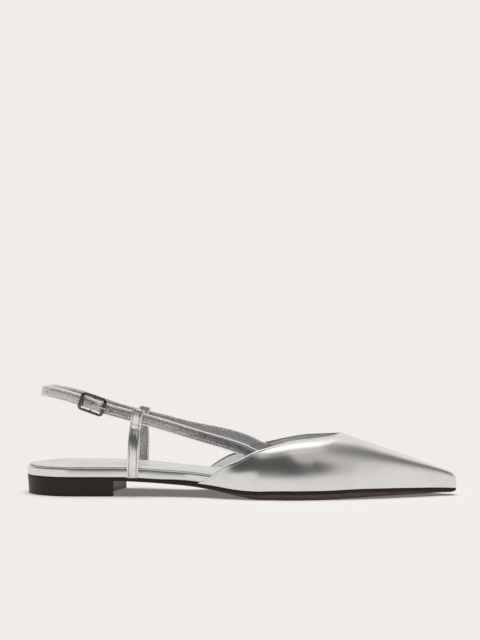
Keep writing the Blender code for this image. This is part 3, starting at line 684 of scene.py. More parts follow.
def whole_ring(along, profile, inset, most):
    """A ring from a half section of insets and heights, repeated backwards on the inner side."""
    ring = []
    for side, order in ((OUTER, 1), (INNER, -1)):
        for more, height in profile[::order]:
            p = edge(along, side, min(inset + more, most * half_width(along, side)))
            ring.append((p.x, p.y, height))
    return ring


def stations(start, end, count):
    """Distances from the heel, closer together towards both ends of the sole."""
    first, last = (math.acos(1 - 2 * a / LENGTH) for a in (start, end))
    return [LENGTH * (1 - math.cos(first + (last - first) * i / count)) / 2 for i in range(count + 1)]


print("widest at the ball:", round(1000 * (half_width(0.18, OUTER) + half_width(0.18, INNER)), 1), "mm")

# %% [markdown]
# Most pieces are lofts: a ring of points for each place along the shoe, skinned with quads. The helper
# also stores how far along and around each point is, so that a pattern can follow the piece, and it
# lets a function choose the finish of each strip round the ring.

# %% Loft a piece


def finished(name, bm, materials, angle=38):
    """A smoothly shaded mesh object from a bmesh, with edges sharp where they turn by the angle."""
    mesh = bpy.data.meshes.new(name)
    bm.to_mesh(mesh)
    bm.free()
    for material in materials:
        mesh.materials.append(material)
    mesh.shade_smooth()
    mesh.set_sharp_from_angle(angle=math.radians(angle))
    return add_object(name, mesh)


def loft(name, rings, materials, strips=None, closed=False, angle=38, marks=None):
    """Skins rings of points. strips gives each strip's material, marks each point's place on the piece."""
    bm = bmesh.new()
    uv = bm.loops.layers.uv.new("UVMap")
    rows = [[bm.verts.new(p) for p in ring] for ring in rings]
    count = len(rows[0])
    spots = {}
    if marks:
        for row, places in zip(rows, marks):
            for vert, place in zip(row, places):
                spots[vert] = place
    pairs = list(zip(rows, rows[1:]))
    if closed:
        pairs.append((rows[-1], rows[0]))
    for a, b in pairs:
        for i in range(count):
            j = (i + 1) % count
            face = bm.faces.new((a[i], a[j], b[j], b[i]))
            face.material_index = strips[i] if strips else 0
            for loop in face.loops:
                loop[uv].uv = spots.get(loop.vert, (0, 0))
    if not closed:
        for row in (rows[0], rows[-1]):
            bm.faces.new(row)
    bmesh.ops.remove_doubles(bm, verts=bm.verts, dist=1e-6)
    bmesh.ops.dissolve_degenerate(bm, edges=bm.edges, dist=1e-6)
    bmesh.ops.recalc_face_normals(bm, faces=bm.faces)
    return finished(name, bm, materials, angle)


def stand_for(piece, slot, *nodes):
    """The piece takes the place of solids and rides on the shoe. Its slot is not used."""
    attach(piece, "root")
    if nodes:
        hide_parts(*nodes)
    tall = max(v.co.z for v in piece.data.vertices) - min(v.co.z for v in piece.data.vertices)
    print(f"{piece.name}: {len(piece.data.polygons)} faces, {tall * 1000:.1f} mm tall")
    return piece


print("loft ready")

# %% [markdown]
# ## Sole and heel
#
# A sole like this is cut from one sheet of leather. Its edge is trimmed upright and painted black, and in
# front of the arch its lower corner is bevelled to a brown band, which makes the thick forepart look
# thin. The ring of each station has soft corners, and its strips carry the two finishes.

# %% Build the outsole
SOLE_EDGE = 0.0021
BEVEL_INSET = 0.0011
LEAST_BEVEL = 0.0003
CORNER = 0.00035
BROWN_FROM = 0.100


def sole_ring(along):
    """A ring over the top's edge, round the corner and the bevel and underneath, on both sides."""
    near_tip = max(0.0, 1 - (LENGTH - along) / TOE_NOSE)
    top = sole_top(along)
    low = underside(along) + TOE_ROUND * (1 - math.sqrt(1 - near_tip**2))
    bevel = max(LEAST_BEVEL, top - low - SOLE_EDGE)
    inset = min(BEVEL_INSET, bevel)
    profile = [
        (0.004, top), (CORNER, top), (CORNER * 0.3, top - CORNER * 0.3), (0.0, top - CORNER),
        (0.0, low + bevel + CORNER), (CORNER * 0.1, low + bevel + CORNER * 0.2),
        (inset * 0.35, low + bevel * 0.55), (inset, low + CORNER * 0.6), (inset + CORNER, low), (0.006, low),
    ]
    return whole_ring(along, profile, 0.0, 0.9)


def build_outsole():
    places = stations(0.0, LENGTH, 170)
    half = [0, 0, 0, 0, 0, 1, 1, 1, 1]
    strips = half + [1] + half[::-1] + [0]
    piece = loft("outsole_skin", [sole_ring(a) for a in places], [EDGE, BROWN], strips, angle=50)
    for face in piece.data.polygons:
        if face.center.x + HEEL_CENTRE < BROWN_FROM and face.normal.z > -0.9:
            face.material_index = 0
    return piece


stand_for(build_outsole(), "sole", "outsole")

# %% [markdown]
# The heel is a single lift, rounded at the back like the seat above it and hollowed at the breast. Its
# lacquer runs up over the sole's lower corner, and a small round runs along its own lower edge.

# %% Build the heel
BREAST_ALONG = {OUTER: 0.0575, INNER: 0.0590}
BREAST_HOLLOW = 0.005
HEEL_INSET = 0.0002
HEEL_TAPER = 0.0006
HEEL_EDGE = 0.0005


def build_heel():
    foot = HEEL_INSET + HEEL_TAPER
    levels = [
        (SEAT_UNDERSIDE + LEAST_BEVEL + CORNER, 0.00002),
        (SEAT_UNDERSIDE - GAP, HEEL_INSET * 0.5),
        (SEAT_UNDERSIDE - GAP * 3, HEEL_INSET),
    ]
    levels += [(SEAT_UNDERSIDE * (1 - i / 6), HEEL_INSET + HEEL_TAPER * i / 6) for i in range(1, 6)]
    levels += [(HEEL_EDGE * 1.2, foot), (HEEL_EDGE * 0.45, foot + HEEL_EDGE * 0.3), (0.0, foot + HEEL_EDGE)]
    places = {side: stations(0.0, BREAST_ALONG[side], 60) for side in (OUTER, INNER)}
    steps = 30
    rings = []
    for height, inset in levels:
        sides = {side: [edge(a, side, inset) for a in places[side]] for side in (OUTER, INNER)}
        start, end = sides[OUTER][-1], sides[INNER][-1]
        breast = []
        for i in range(1, steps):
            share = i / steps
            point = start.lerp(end, share)
            point.x -= BREAST_HOLLOW * (1 - (2 * share - 1) ** 2)
            breast.append(point)
        outline = sides[OUTER] + breast + sides[INNER][:0:-1]
        rings.append([(p.x, p.y, height) for p in outline])
    piece = loft("heel_skin", rings, [HEEL, BREAST_PAINTED_LIGHT], angle=40)
    # Faces turned towards the toe take the paler finish: painted light on the breast
    for face in piece.data.polygons:
        if face.normal.x > 0.6:
            face.material_index = 1
    return piece


stand_for(build_heel(), "heel", "heel")

# %% [markdown]
# ## Board and sock
#
# The insole board is wrapped in the same silver leather, so its side is a soft, slightly full band. The
# sock lies on it a millimetre inside the edge. Its own edge is turned, which draws two fine dark lines.

# %% Build the wrapped board
VAMP_WALL = 0.0016
BOARD_THICKNESS = 0.0055
FOREPART_BOARD = 0.0024
BOARD_NARROWS_OVER = 0.024
BOARD_THINS_FROM = 0.012
BOARD_THINS_OVER = 0.030
BOARD_CHAMFER = 0.0007


def board_inset(along):
    start = min(VAMP_REAR.values()) - GAP - BOARD_NARROWS_OVER
    return (VAMP_WALL + GAP) * ease((along - start) / BOARD_NARROWS_OVER)


def board_top(along):
    share = ease((along - VAMP_REAR[OUTER] - BOARD_THINS_FROM) / BOARD_THINS_OVER)
    thickness = BOARD_THICKNESS + (FOREPART_BOARD - BOARD_THICKNESS) * share
    return sole_top(along) + GAP + thickness


def build_board():
    rings = []
    for along in stations(0.0, LENGTH - VAMP_WALL - GAP, 170):
        low, top = sole_top(along) + GAP * 0.3, board_top(along)
        tall = top - low
        profile = [
            (0.003, low), (0.0005, low), (0.00012, low + 0.0004), (0.0, low + 0.3 * tall),
            (0.0, top - 1.6 * BOARD_CHAMFER), (0.18 * BOARD_CHAMFER, top - 0.8 * BOARD_CHAMFER),
            (0.55 * BOARD_CHAMFER, top - 0.25 * BOARD_CHAMFER), (1.15 * BOARD_CHAMFER, top), (0.003, top),
        ]
        rings.append(whole_ring(along, profile, board_inset(along), 0.95))
    return loft("wrapped_board", rings, [UPPER], angle=60)


stand_for(build_board(), "upper_leather", "insole_board")

# %% Build the sock
INSOLE_THICKNESS = 0.0012
INSOLE_INSET = 0.0009
INSOLE_CROWN = 0.0013
INSOLE_ROUND = 0.0011
FOREPART_CROWN = 0.0003
HEEL_PAD_START = 0.003
HEEL_PAD_RISES_OVER = 0.014
HEEL_PAD_END = 0.050
HEEL_PAD_FADE = 0.070


def insole_rise(along):
    crown = INSOLE_CROWN + (FOREPART_CROWN - INSOLE_CROWN) * ease((along - HEEL_PAD_END) / HEEL_PAD_FADE)
    return crown * ease((along - HEEL_PAD_START) / HEEL_PAD_RISES_OVER)


def build_sock():
    columns = 28
    rings = []
    for along in stations(0.0, LENGTH - 3 * TOE_NOSE, 150):
        low = board_top(along) + GAP * 0.2
        inset = board_inset(along) + BOARD_CHAMFER + INSOLE_INSET
        outer, inner = edge(along, OUTER, inset), edge(along, INNER, inset)
        wide = (outer - inner).length
        ring = []
        for share in (-0.985, -1.0, 1.0, 0.985):
            p = outer.lerp(inner, (1 + share) / 2)
            height = low if abs(share) < 1 else low + 0.35 * INSOLE_THICKNESS
            ring.append((p.x, p.y, height))
        for i in range(columns + 1):
            share = 1 - 2 * i / columns
            p = outer.lerp(inner, (1 + share) / 2)
            to_edge = (1 - abs(share)) * wide / 2
            round_edge = math.sqrt(1 - max(0.0, 1 - to_edge / INSOLE_ROUND) ** 2)
            rise = insole_rise(along) * (1 - share**4) * ease(wide / HEEL_HALF_WIDTH)
            height = low + INSOLE_THICKNESS * (0.4 + 0.6 * round_edge) + rise
            ring.append((p.x, p.y, height))
        rings.append(ring)
    return loft("sock", rings, [SOCK], angle=60)


sock = stand_for(build_sock(), "insole_leather", "insole")

# %% [markdown]
# ## Vamp
#
# The vamp is one piece of leather pulled over the last. Each rib is a Bezier curve from the sole's edge
# up to the topline, or to the crest between throat and toe. A grid of ribs makes the outside, a Solidify
# gives it the wall and the lining, and a bevel turns the top edge.

# %% Ribs of the vamp
RIB_STEP = 0.0005


def topline(along, side):
    share = (along - VAMP_REAR[side]) / (THROAT_ALONG - VAMP_REAR[side])
    rise = from_table(TOPLINE, 1, share)
    spread = from_table(TOPLINE, 2, share)
    foot = sole_top(along) + GAP
    across = side * spread * half_width(along, side) + THROAT_OFFSET * max(0.0, share) ** 2
    height = foot + rise * (THROAT_HEIGHT - foot)
    if side == OUTER:
        height -= THROAT_OPEN * ease((share - 0.6) / 0.2) * ease((1.0 - share) / 0.24)
    return Vector((along - HEEL_CENTRE, across, height))


def ridge(along):
    share = (along - THROAT_ALONG) / (LENGTH - RIDGE_END - THROAT_ALONG)
    height = THROAT_HEIGHT + (RIDGE_END_HEIGHT - THROAT_HEIGHT) * share
    return Vector((along - HEEL_CENTRE, THROAT_OFFSET * (1 - share), height))


def rib(along, side):
    """The four control points of a rib, from the sole to the topline or the crest."""
    rim = edge(along, side)
    foot = Vector((rim.x, rim.y, sole_top(along) + GAP))
    if along <= THROAT_ALONG:
        head, slope = topline(along, side), 0.0
    else:
        share = (along - THROAT_ALONG) / (LENGTH - THROAT_ALONG)
        head = ridge(THROAT_ALONG + share * (LENGTH - RIDGE_END - THROAT_ALONG))
        slope = (RIDGE_END_HEIGHT - THROAT_HEIGHT) / (LENGTH - RIDGE_END - THROAT_ALONG)
    rise, roof, swell, drop = (from_table(RIBS, i, along / LENGTH) for i in range(1, 5))
    tall = head.z - foot.z
    reach = Vector((foot.x - head.x, foot.y - head.y))
    out = plan_normal(along, side)
    low = foot + Vector((out.x * swell * tall, out.y * swell * tall, rise * tall))
    high = head + Vector((reach.x * roof, reach.y * roof, slope * reach.x * roof - drop * tall))
    high.z -= THROAT_DIP * max(0.0, 1 - abs(along - THROAT_ALONG) / THROAT_BLEND) ** 2
    return foot, low, high, head


def on_rib(controls, share):
    foot, low, high, head = controls
    t, u = share, 1 - share
    return foot * u**3 + low * (3 * u * u * t) + high * (3 * u * t * t) + head * t**3


def vamp_point(along, side, down=0.0, out=0.0):
    """A point a distance down from the topline, standing out of the vamp's surface."""
    controls = rib(along, side)
    length = (on_rib(controls, 1) - on_rib(controls, 0.9)).length * 10
    share = max(0.0, 1 - down / max(length, 1e-6))
    here = on_rib(controls, share)
    ahead = on_rib(rib(along + RIB_STEP, side), share) - on_rib(rib(along - RIB_STEP, side), share)
    up = on_rib(controls, min(1.0, share + 0.02)) - on_rib(controls, max(0.0, share - 0.02))
    normal = (up.cross(ahead) * side).normalized()
    return here + normal * out


print("throat at", [round(v * 1000, 1) for v in topline(THROAT_ALONG, OUTER)], "mm")

# %% Build the vamp
VAMP_ROWS = 34
VAMP_BEHIND = 90
VAMP_FRONT = 70
VAMP_CROWDING = 1.35
THROAT_FAIRING = 0.014
TURNED_EDGE = 0.0005
FOLD_ENDS = 0.001
FOLD_FADE = 0.005
SEAM_ENDS = 0.004
ROWS_DOWN = [0.0040, 0.0034, 0.0030, 0.0027, 0.0024, 0.0021, 0.0018, 0.0012, 0.0006, 0.0002, 0.0]


# Distance down from the topline, height over the leather: a turned edge, then the channel of its seam
FOLD = [
    (0.0000, 0.00000),
    (0.0006, 0.00012),
    (0.0014, 0.00014),
    (0.0019, 0.00008),
    (0.0024, -0.00018),
    (0.0030, 0.00000),
    (0.0040, 0.00000),
]


# Strips counted down from the topline: the rim's painted highlight is 2, the seam's painted shade 3
FOLD_FINISHES = {0: 2, 1: 2, 2: 2, 3: 2, 5: 3, 6: 3, 7: 3}


def fold(down, along):
    """Height of the turned edge over the leather. It fades out just behind the throat."""
    fade = ease((THROAT_ALONG - FOLD_ENDS - along) / FOLD_FADE)
    return fade * smooth([row[0] for row in FOLD], [row[1] for row in FOLD], down)


def faired(along, side, share):
    """A point of a rib, with the corner under the throat eased away below the topline."""
    reach = THROAT_FAIRING * ease((0.92 - share) / 0.4)
    off = along - THROAT_ALONG
    if abs(off) >= reach:
        return on_rib(rib(along, side), share)
    ends = []
    for way in (-1, 1):
        at = THROAT_ALONG + way * reach
        here = on_rib(rib(at, side), share)
        beyond = on_rib(rib(at + way * RIB_STEP, side), share)
        ends.append((here, (beyond - here) * (way * 2 * reach / RIB_STEP)))
    (a, leave), (b, arrive) = ends
    return bridge(a, leave, b, arrive, (off + reach) / (2 * reach))


def rib_rows(along, side):
    """Points of one rib, even up the wall and close together at the topline, with the turned edge."""
    controls = rib(along, side)
    length = (on_rib(controls, 1) - on_rib(controls, 0.9)).length * 10
    below = 1 - min(0.1, FOLD[-1][0] / length) if length > 1e-5 else 0.9
    points = [faired(along, side, below * i / VAMP_ROWS) for i in range(VAMP_ROWS)]
    for down in ROWS_DOWN:
        share = below + (1 - below) * (1 - down / ROWS_DOWN[0])
        lifted = fold(down, along)
        if lifted:
            points.append(vamp_point(along, side, (1 - share) * length, lifted))
        else:
            points.append(on_rib(controls, share))
    return points


def build_vamp():
    bm = bmesh.new()
    for side in (OUTER, INNER):
        rear = VAMP_REAR[side]
        shares = [1 - (1 - i / VAMP_BEHIND) ** VAMP_CROWDING for i in range(VAMP_BEHIND + 1)]
        places = [rear + (THROAT_ALONG - rear) * share for share in shares]
        places += stations(THROAT_ALONG, LENGTH, VAMP_FRONT)[1:]
        grid = [[bm.verts.new(point) for point in rib_rows(along, side)] for along in places]
        for a, b in zip(grid, grid[1:]):
            for i in range(len(a) - 1):
                corners = (a[i], b[i], b[i + 1], a[i + 1])
                face = bm.faces.new(corners if side == OUTER else corners[::-1])
                if a[i].co.x + HEEL_CENTRE < THROAT_ALONG - SEAM_ENDS:
                    face.material_index = FOLD_FINISHES.get(len(a) - 2 - i, 0)
    bmesh.ops.remove_doubles(bm, verts=bm.verts, dist=1e-5)
    bmesh.ops.dissolve_degenerate(bm, edges=bm.edges, dist=1e-5)
    # Finishes of the vamp: the leather, its lining made paler to paint light inside the shoe, a painted
    # highlight on the turned edge, and painted shade in the seam's channel
    piece = finished("vamp_skin", bm, [UPPER, LINING_WITH_PAINTED_LIGHT, PAINTED_RIM_HIGHLIGHT, PAINTED_SEAM_SHADE], 180)
    wall = piece.modifiers.new("wall", "SOLIDIFY")
    wall.thickness = VAMP_WALL
    wall.offset = -1
    wall.use_even_offset = True
    wall.thickness_clamp = 1.2
    wall.material_offset = 1
    turned = piece.modifiers.new("turned_edge", "BEVEL")
    turned.limit_method = "ANGLE"
    turned.angle_limit = math.radians(50)
    turned.width = TURNED_EDGE
    turned.segments = 3
    turned.use_clamp_overlap = True
    return piece


def applied(piece):
    """Turns a piece and its modifiers into one plain mesh."""
    deps = bpy.context.evaluated_depsgraph_get()
    mesh = bpy.data.meshes.new_from_object(piece.evaluated_get(deps))
    piece.modifiers.clear()
    piece.data = mesh
    return piece


vamp = applied(build_vamp())
stand_for(vamp, "upper_leather", "vamp")

# %% [markdown]
# ## Straps
#
# The straps are folded bands: their long edges are turned and stitched, which leaves a round rim, a
# shallow channel at the seam and a slightly full middle. One section function draws that profile, and
# sweeps along the sling's own line give each strap.

# %% The sling's line
STRAP_THICKNESS = 0.0013
STRAP_WIDTH = 0.0070
SLING_BACK_ALONG = 0.0090
SLING_BACK_HEIGHT = 0.0640
SLING_HALF_WIDTH = 0.0193
SLING_INNER_SAG = 0.0009
SLING_INNER_RISE = 0.0022
SLING_CROSSING_ALONG = 0.142
SLING_FRONT_ALONG = 0.154
SLING_FRONT_HEIGHT = 0.0222

# Share of the way to the vamp, spread as a share of SLING_HALF_WIDTH
SLING_REAR_SPREAD = [
    (0.000, 0.000),
    (0.020, 0.400),
    (0.096, 0.830),
    (0.186, 0.975),
    (0.307, 0.995),
    (0.358, 1.000),
    (0.488, 1.090),
]

# Share of the way to the vamp, spread as a share of the room inside the topline
SLING_FRONT_SPREAD = [
    (0.704, 1.00),
    (0.874, 1.00),
    (0.946, 1.00),
    (1.000, 1.05),
]

# Share of the way to the vamp, drop as a share of its whole drop, upward tilt in degrees
SLING = [
    (0.000, 0.000, 10.0),
    (0.020, 0.000, 9.0),
    (0.096, 0.038, 7.0),
    (0.186, 0.122, 5.0),
    (0.307, 0.262, 4.0),
    (0.358, 0.311, 4.0),
    (0.488, 0.423, 4.0),
    (0.704, 0.634, 8.0),
    (0.874, 0.813, 14.0),
    (0.946, 0.923, 20.0),
    (1.000, 1.000, 24.0),
]


def room_in_topline(side):
    rim = abs(topline(SLING_CROSSING_ALONG, side).y)
    return rim - 1.5 * VAMP_WALL - GAP - STRAP_THICKNESS


ROOM = {side: room_in_topline(side) for side in (OUTER, INNER)}


def share_at(along):
    return (along - SLING_BACK_ALONG) / (SLING_FRONT_ALONG - SLING_BACK_ALONG)


def sling_point(share, side):
    along = SLING_BACK_ALONG + (SLING_FRONT_ALONG - SLING_BACK_ALONG) * share
    spreads = [(at, spread * SLING_HALF_WIDTH) for at, spread in SLING_REAR_SPREAD]
    spreads += [(at, spread * ROOM[side]) for at, spread in SLING_FRONT_SPREAD]
    across = smooth(*zip(*spreads), share)
    height = SLING_BACK_HEIGHT + (SLING_FRONT_HEIGHT - SLING_BACK_HEIGHT) * from_table(SLING, 1, share)
    if side == INNER:
        height -= SLING_INNER_SAG * math.sin(math.pi * min(1.0, share / 0.75))
        height += SLING_INNER_RISE * ease((share - 0.58) / 0.27)
    return Vector((along - HEEL_CENTRE, side * across, height))


def sling_frame(share, side):
    """Place, direction to the vamp, outward normal and upward width direction of the sling strap."""
    step = 0.002
    if share < step:
        way = sling_point(step, side) - sling_point(step, -side)
    else:
        way = sling_point(min(1.0, share + step), side) - sling_point(share - step, side)
    way.normalize()
    level = Vector((-side * way.y, side * way.x, 0)).normalized()
    up = way.cross(level) * side
    tilt = math.radians(from_table(SLING, 2, share))
    normal = level * math.cos(tilt) + up * math.sin(tilt)
    return sling_point(share, side), way, normal, up * math.cos(tilt) - level * math.sin(tilt)


print("room for the straps:", {side: round(room * 1000, 1) for side, room in ROOM.items()}, "mm")

# %% The strap's section and sweep
SEAM_IN = 0.0015
SEAM_WIDE = 0.0004
SEAM_DEEP = 0.00018
RIM_ROUND = 0.0010


def rim_and_seam(width, thickness):
    """How far in from a strap's side its round rim and its seam reach."""
    return min(RIM_ROUND, 0.7 * thickness), min(SEAM_IN, 0.3 * width, 1.2 * thickness)


def strap_section(width, thickness):
    """Points round a folded strap, across and outwards: round rims, a seam channel and a full middle."""
    w, t = width / 2, thickness / 2
    r, seam = rim_and_seam(width, thickness)
    rim = [(w - r + r * math.sin(a), t * math.cos(a)) for a in (math.pi / 10 * k for k in (1, 2, 3, 4, 5))]
    face = [(w - r, t), (w - seam, t - SEAM_DEEP), (w - seam - SEAM_WIDE, t), (w * 0.3, t), (0.0, t)]
    outer = [(-a, b) for a, b in rim[::-1] + face] + [(a, b) for a, b in face[-2::-1] + rim]
    return outer + [(a, -b) for a, b in outer[::-1] if abs(b) > 1e-9]


def strip_finishes(section, width, thickness):
    """For each strip of a section: 0 outer face, 1 inner face, 2 turned rim, 3 seam."""
    kinds = []
    r, seam = rim_and_seam(width, thickness)
    w = width / 2
    for a, b in zip(section, section[1:] + section[:1]):
        nearest = min(abs(a[0]), abs(b[0]))
        farthest = max(abs(a[0]), abs(b[0]))
        if nearest > w - 0.72 * r:
            kinds.append(2)
        elif farthest < w - seam + 1e-6 and nearest > w - seam - SEAM_WIDE - 1e-6:
            kinds.append(3)
        elif min(a[1], b[1]) < 0 and nearest < w - seam:
            kinds.append(1)
        else:
            kinds.append(0)
    return kinds


def sweep(name, stops, materials, thickness=STRAP_THICKNESS):
    """A strap through stops of place, width direction, normal, width and distance along it."""
    rings, marks = [], []
    for place, up, normal, width, distance in stops:
        section = strap_section(width, thickness)
        rings.append([place + up * a + normal * b for a, b in section])
        marks.append([(distance, a) for a, b in section])
    width = stops[len(stops) // 2][3]
    strips = strip_finishes(strap_section(width, thickness), width, thickness)
    return loft(name, rings, materials, strips, angle=180, marks=marks)


print("section of a strap:", len(strap_section(STRAP_WIDTH, STRAP_THICKNESS)), "points")

# %% [markdown]
# The outer strap comes out of the vamp, goes through its keeper, under the frame's front bar, over the
# middle bar and under the back bar, and ends in a round tip on top of the other strap. Its path is the
# sling's line, lifted by what lies under it. Near the buckle the leather has been pulled tight, and fine
# gathers cross it.

# %% Build the outer strap
FREE_TIP_ALONG = 0.0150
BUCKLE_ALONG = 0.0441
BUCKLE_LENGTH = 0.0168
BUCKLE_WIRE = 0.0006
BUCKLE_RIM = 0.0008
BUCKLE_SIDE_ROOM = 0.0006
BUCKLE_BOW = 0.0016
HOLE_RADIUS = 0.0009
HOLE_PITCH = 0.0058
STRAP_HOLES = 3
HOLE_GROUND = 0.0004
GATHER_FROM = 0.020
GATHER_TO = 0.036
GATHER_PITCH = 0.0015
GATHER_HIGH = 0.00010
GATHER_FADE = 0.003
PUNCH_REACH = 0.01
LAP = STRAP_THICKNESS + GAP
FRAME_LIFT = LAP + STRAP_THICKNESS / 2 + GAP + BUCKLE_WIRE
BAR_LIFT = FRAME_LIFT - BUCKLE_BOW
EYE_RADIUS = BUCKLE_WIRE + GAP + STRAP_THICKNESS * 0.55
OVER_BAR = BAR_LIFT + EYE_RADIUS + GAP + STRAP_THICKNESS / 2


def outer_lift(along):
    """How far the outer strap stands off the sling's line."""
    half = BUCKLE_LENGTH / 2
    off = along - BUCKLE_ALONG
    hump = (OVER_BAR - LAP) * (1 - ease(abs(off) / (half - BUCKLE_RIM)))
    return LAP * (1 - ease((off - half) / BUCKLE_LENGTH)) + hump


def gather(along):
    """Fine ridges across the strap behind the buckle."""
    inside = ease((along - GATHER_FROM) / GATHER_FADE) * ease((GATHER_TO - along) / GATHER_FADE)
    return GATHER_HIGH * inside * math.sin(2 * math.pi * along / GATHER_PITCH)


def build_outer_strap():
    tip = FREE_TIP_ALONG
    rounding = STRAP_WIDTH / 2
    places = [tip + rounding * (1 - math.cos(math.pi / 2 * i / 14)) for i in range(14)]
    count = 330
    start = tip + rounding
    places += [start + (SLING_FRONT_ALONG - start) * i / count for i in range(count + 1)]
    stops = []
    for along in places:
        place, _, normal, up = sling_frame(share_at(along), OUTER)
        left = (along - tip) / rounding
        width = STRAP_WIDTH * (1 if left >= 1 else max(0.15, math.sqrt(1 - (1 - left) ** 2)))
        lift = outer_lift(along) + gather(along)
        stops.append((place + normal * lift, up, normal, width, along))
    # The third finish paints a highlight along the turned rims
    return sweep("outer_strap", stops, [STRAP, INSIDE, PAINTED_RIM_HIGHLIGHT, STRAP])


def rod(name, start, end, radius, sides=24, slot=0):
    """A round bar or punch between two points. Its slot colours what it cuts."""
    way = end - start
    bm = bmesh.new()
    bmesh.ops.create_cone(bm, cap_ends=True, segments=sides, radius1=radius, radius2=radius, depth=way.length)
    turn = way.to_track_quat("Z", "Y").to_matrix().to_4x4()
    bmesh.ops.transform(bm, matrix=Matrix.Translation((start + end) / 2) @ turn, verts=bm.verts)
    for face in bm.faces:
        face.material_index = slot
    return finished(name, bm, [STRAP] * slot + [INSIDE], 40)


def cut_away(piece, tools):
    """Cuts or joins other shapes, each given with its operation, and leaves one plain mesh."""
    for tool, operation in tools:
        step = piece.modifiers.new(tool.name, "BOOLEAN")
        step.operation = operation
        step.object = tool
        step.solver = "EXACT"
    applied(piece)
    for tool, _ in tools:
        bpy.data.objects.remove(tool)
    return piece


outer_strap = build_outer_strap()
punches = []
for i in range(STRAP_HOLES):
    along = BUCKLE_ALONG + i * HOLE_PITCH
    place, _, normal, _ = sling_frame(share_at(along), OUTER)
    ground = outer_lift(along) - HOLE_GROUND if i else -PUNCH_REACH
    ends = (place + normal * ground, place + normal * PUNCH_REACH)
    punch = rod(f"punch_{i}", *ends, HOLE_RADIUS, 24, 1)
    punches.append((punch, "DIFFERENCE"))
cut_away(outer_strap, punches)
stand_for(outer_strap, "strap_leather", "sling_strap_outer")

# %% [markdown]
# The inner strap runs from the other side of the vamp round the heel and folds round the buckle's middle
# bar. A union adds the fold, and two cuts open the way for the bar and the slot for the prong.

# %% Build the inner strap
PRONG_WIRE = 0.0005
HOOK_RADIUS = BUCKLE_WIRE + GAP + PRONG_WIRE


def block(name, size, matrix):
    bm = bmesh.new()
    bmesh.ops.create_cube(bm, size=1)
    bmesh.ops.scale(bm, vec=size, verts=bm.verts)
    bmesh.ops.transform(bm, matrix=matrix, verts=bm.verts)
    return finished(name, bm, [], 30)


def build_inner_strap():
    stop = BUCKLE_ALONG - EYE_RADIUS * 0.5
    stops = []
    for side, count in ((INNER, 240), (OUTER, 70)):
        far = SLING_FRONT_ALONG if side == INNER else stop
        for i in range(count + 1):
            if side == OUTER and i == 0:
                continue
            along = SLING_BACK_ALONG + (far - SLING_BACK_ALONG) * (i / count) ** 1.3
            place, _, normal, up = sling_frame(share_at(along), side)
            if side == OUTER:
                ramp = ease((BUCKLE_ALONG - along) / (BUCKLE_LENGTH / 2 - BUCKLE_RIM))
                place = place + normal * BAR_LIFT * (1 - ramp)
            stops.insert(0 if side == INNER else len(stops), (place, up, normal, STRAP_WIDTH, side * along))
    # The third finish paints a highlight along the turned rims
    strap = sweep("inner_strap", stops, [STRAP, INSIDE, PAINTED_RIM_HIGHLIGHT, STRAP])
    place, way, normal, up = sling_frame(share_at(BUCKLE_ALONG), OUTER)
    middle = place + normal * BAR_LIFT
    half = up * STRAP_WIDTH / 2
    fold = rod("fold", middle - half, middle + half, EYE_RADIUS, 40)
    reach = up * PUNCH_REACH
    bar_way = rod("bar_way", middle - reach, middle + reach, BUCKLE_WIRE + GAP)
    turn = Matrix((way, up, normal)).transposed().to_4x4()
    turn.translation = middle + way * (BUCKLE_LENGTH / 2 - HOOK_RADIUS - PRONG_WIRE - GAP)
    slot = block("prong_slot", (BUCKLE_LENGTH, 2 * PRONG_WIRE + 2 * GAP, BUCKLE_LENGTH), turn)
    return cut_away(strap, [(fold, "UNION"), (bar_way, "DIFFERENCE"), (slot, "DIFFERENCE")])


stand_for(build_inner_strap(), "strap_leather", "sling_strap_inner")

# %% [markdown]
# Each strap's end is caught between the upper and its lining. From inside the shoe a patch of lining
# covers the strap below the topline, so the strap disappears behind that line. The patch takes the
# strap's dark grey lining, which paints the shade inside the shoe.

# %% Cover the ends of the straps
COVER = 0.0004
COVER_FROM = 0.128
COVER_PAST_END = 0.001
COVER_MARGIN = 0.0004
COVER_BELOW_TOPLINE = 0.0003


def build_cover(name, side):
    rings = []
    count = 60
    for i in range(count + 1):
        along = COVER_FROM + (SLING_FRONT_ALONG + COVER_PAST_END - COVER_FROM) * i / count
        place, _, normal, up = sling_frame(min(1.0, share_at(along)), side)
        place = place + Vector((along - HEEL_CENTRE - place.x, 0, 0))
        lower = -STRAP_WIDTH / 2 - COVER_MARGIN
        under_rim = (topline(along, side).z - COVER_BELOW_TOPLINE - place.z) / up.z
        upper = min(STRAP_WIDTH / 2 + COVER_MARGIN, under_rim)
        if upper < lower + COVER_BELOW_TOPLINE:
            continue
        back = -STRAP_THICKNESS / 2 - 0.00012
        ring = [(lower, back), (upper, back), (upper, back - COVER), (lower, back - COVER)]
        rings.append([place + up * a + normal * b for a, b in ring])
    # The cover's dark grey paints the shade inside the shoe
    return loft(name, rings, [INSIDE], angle=60)


stand_for(build_cover("outer_strap_cover", OUTER), "upper_leather")
stand_for(build_cover("inner_strap_cover", INNER), "upper_leather")

# %% [markdown]
# ## Keepers
#
# A keeper is a narrow upright strap. It comes up from between board and sole, passes behind the sling,
# folds over its top edge and comes down in front, where its end is sewn to the upright.

# %% Build the keepers
KEEPER_WIDTH = 0.0070
KEEPER_THICKNESS = 0.0009
KEEPER_FOOT_ALONG = {OUTER: 0.0692, INNER: 0.0697}
KEEPER_TOP_ALONG = {OUTER: 0.0717, INNER: 0.0704}
KEEPER_FLAP = 0.0024
KEEPER_AHEAD = {OUTER: 0.0, INNER: 0.0018}
KEEPER_SWELL = 0.00025
KEEPER_BOW = 0.0009
KEEPER_INSIDE = {OUTER: KEEPER, INNER: STRAP}
KEEPER_STEPS = 8


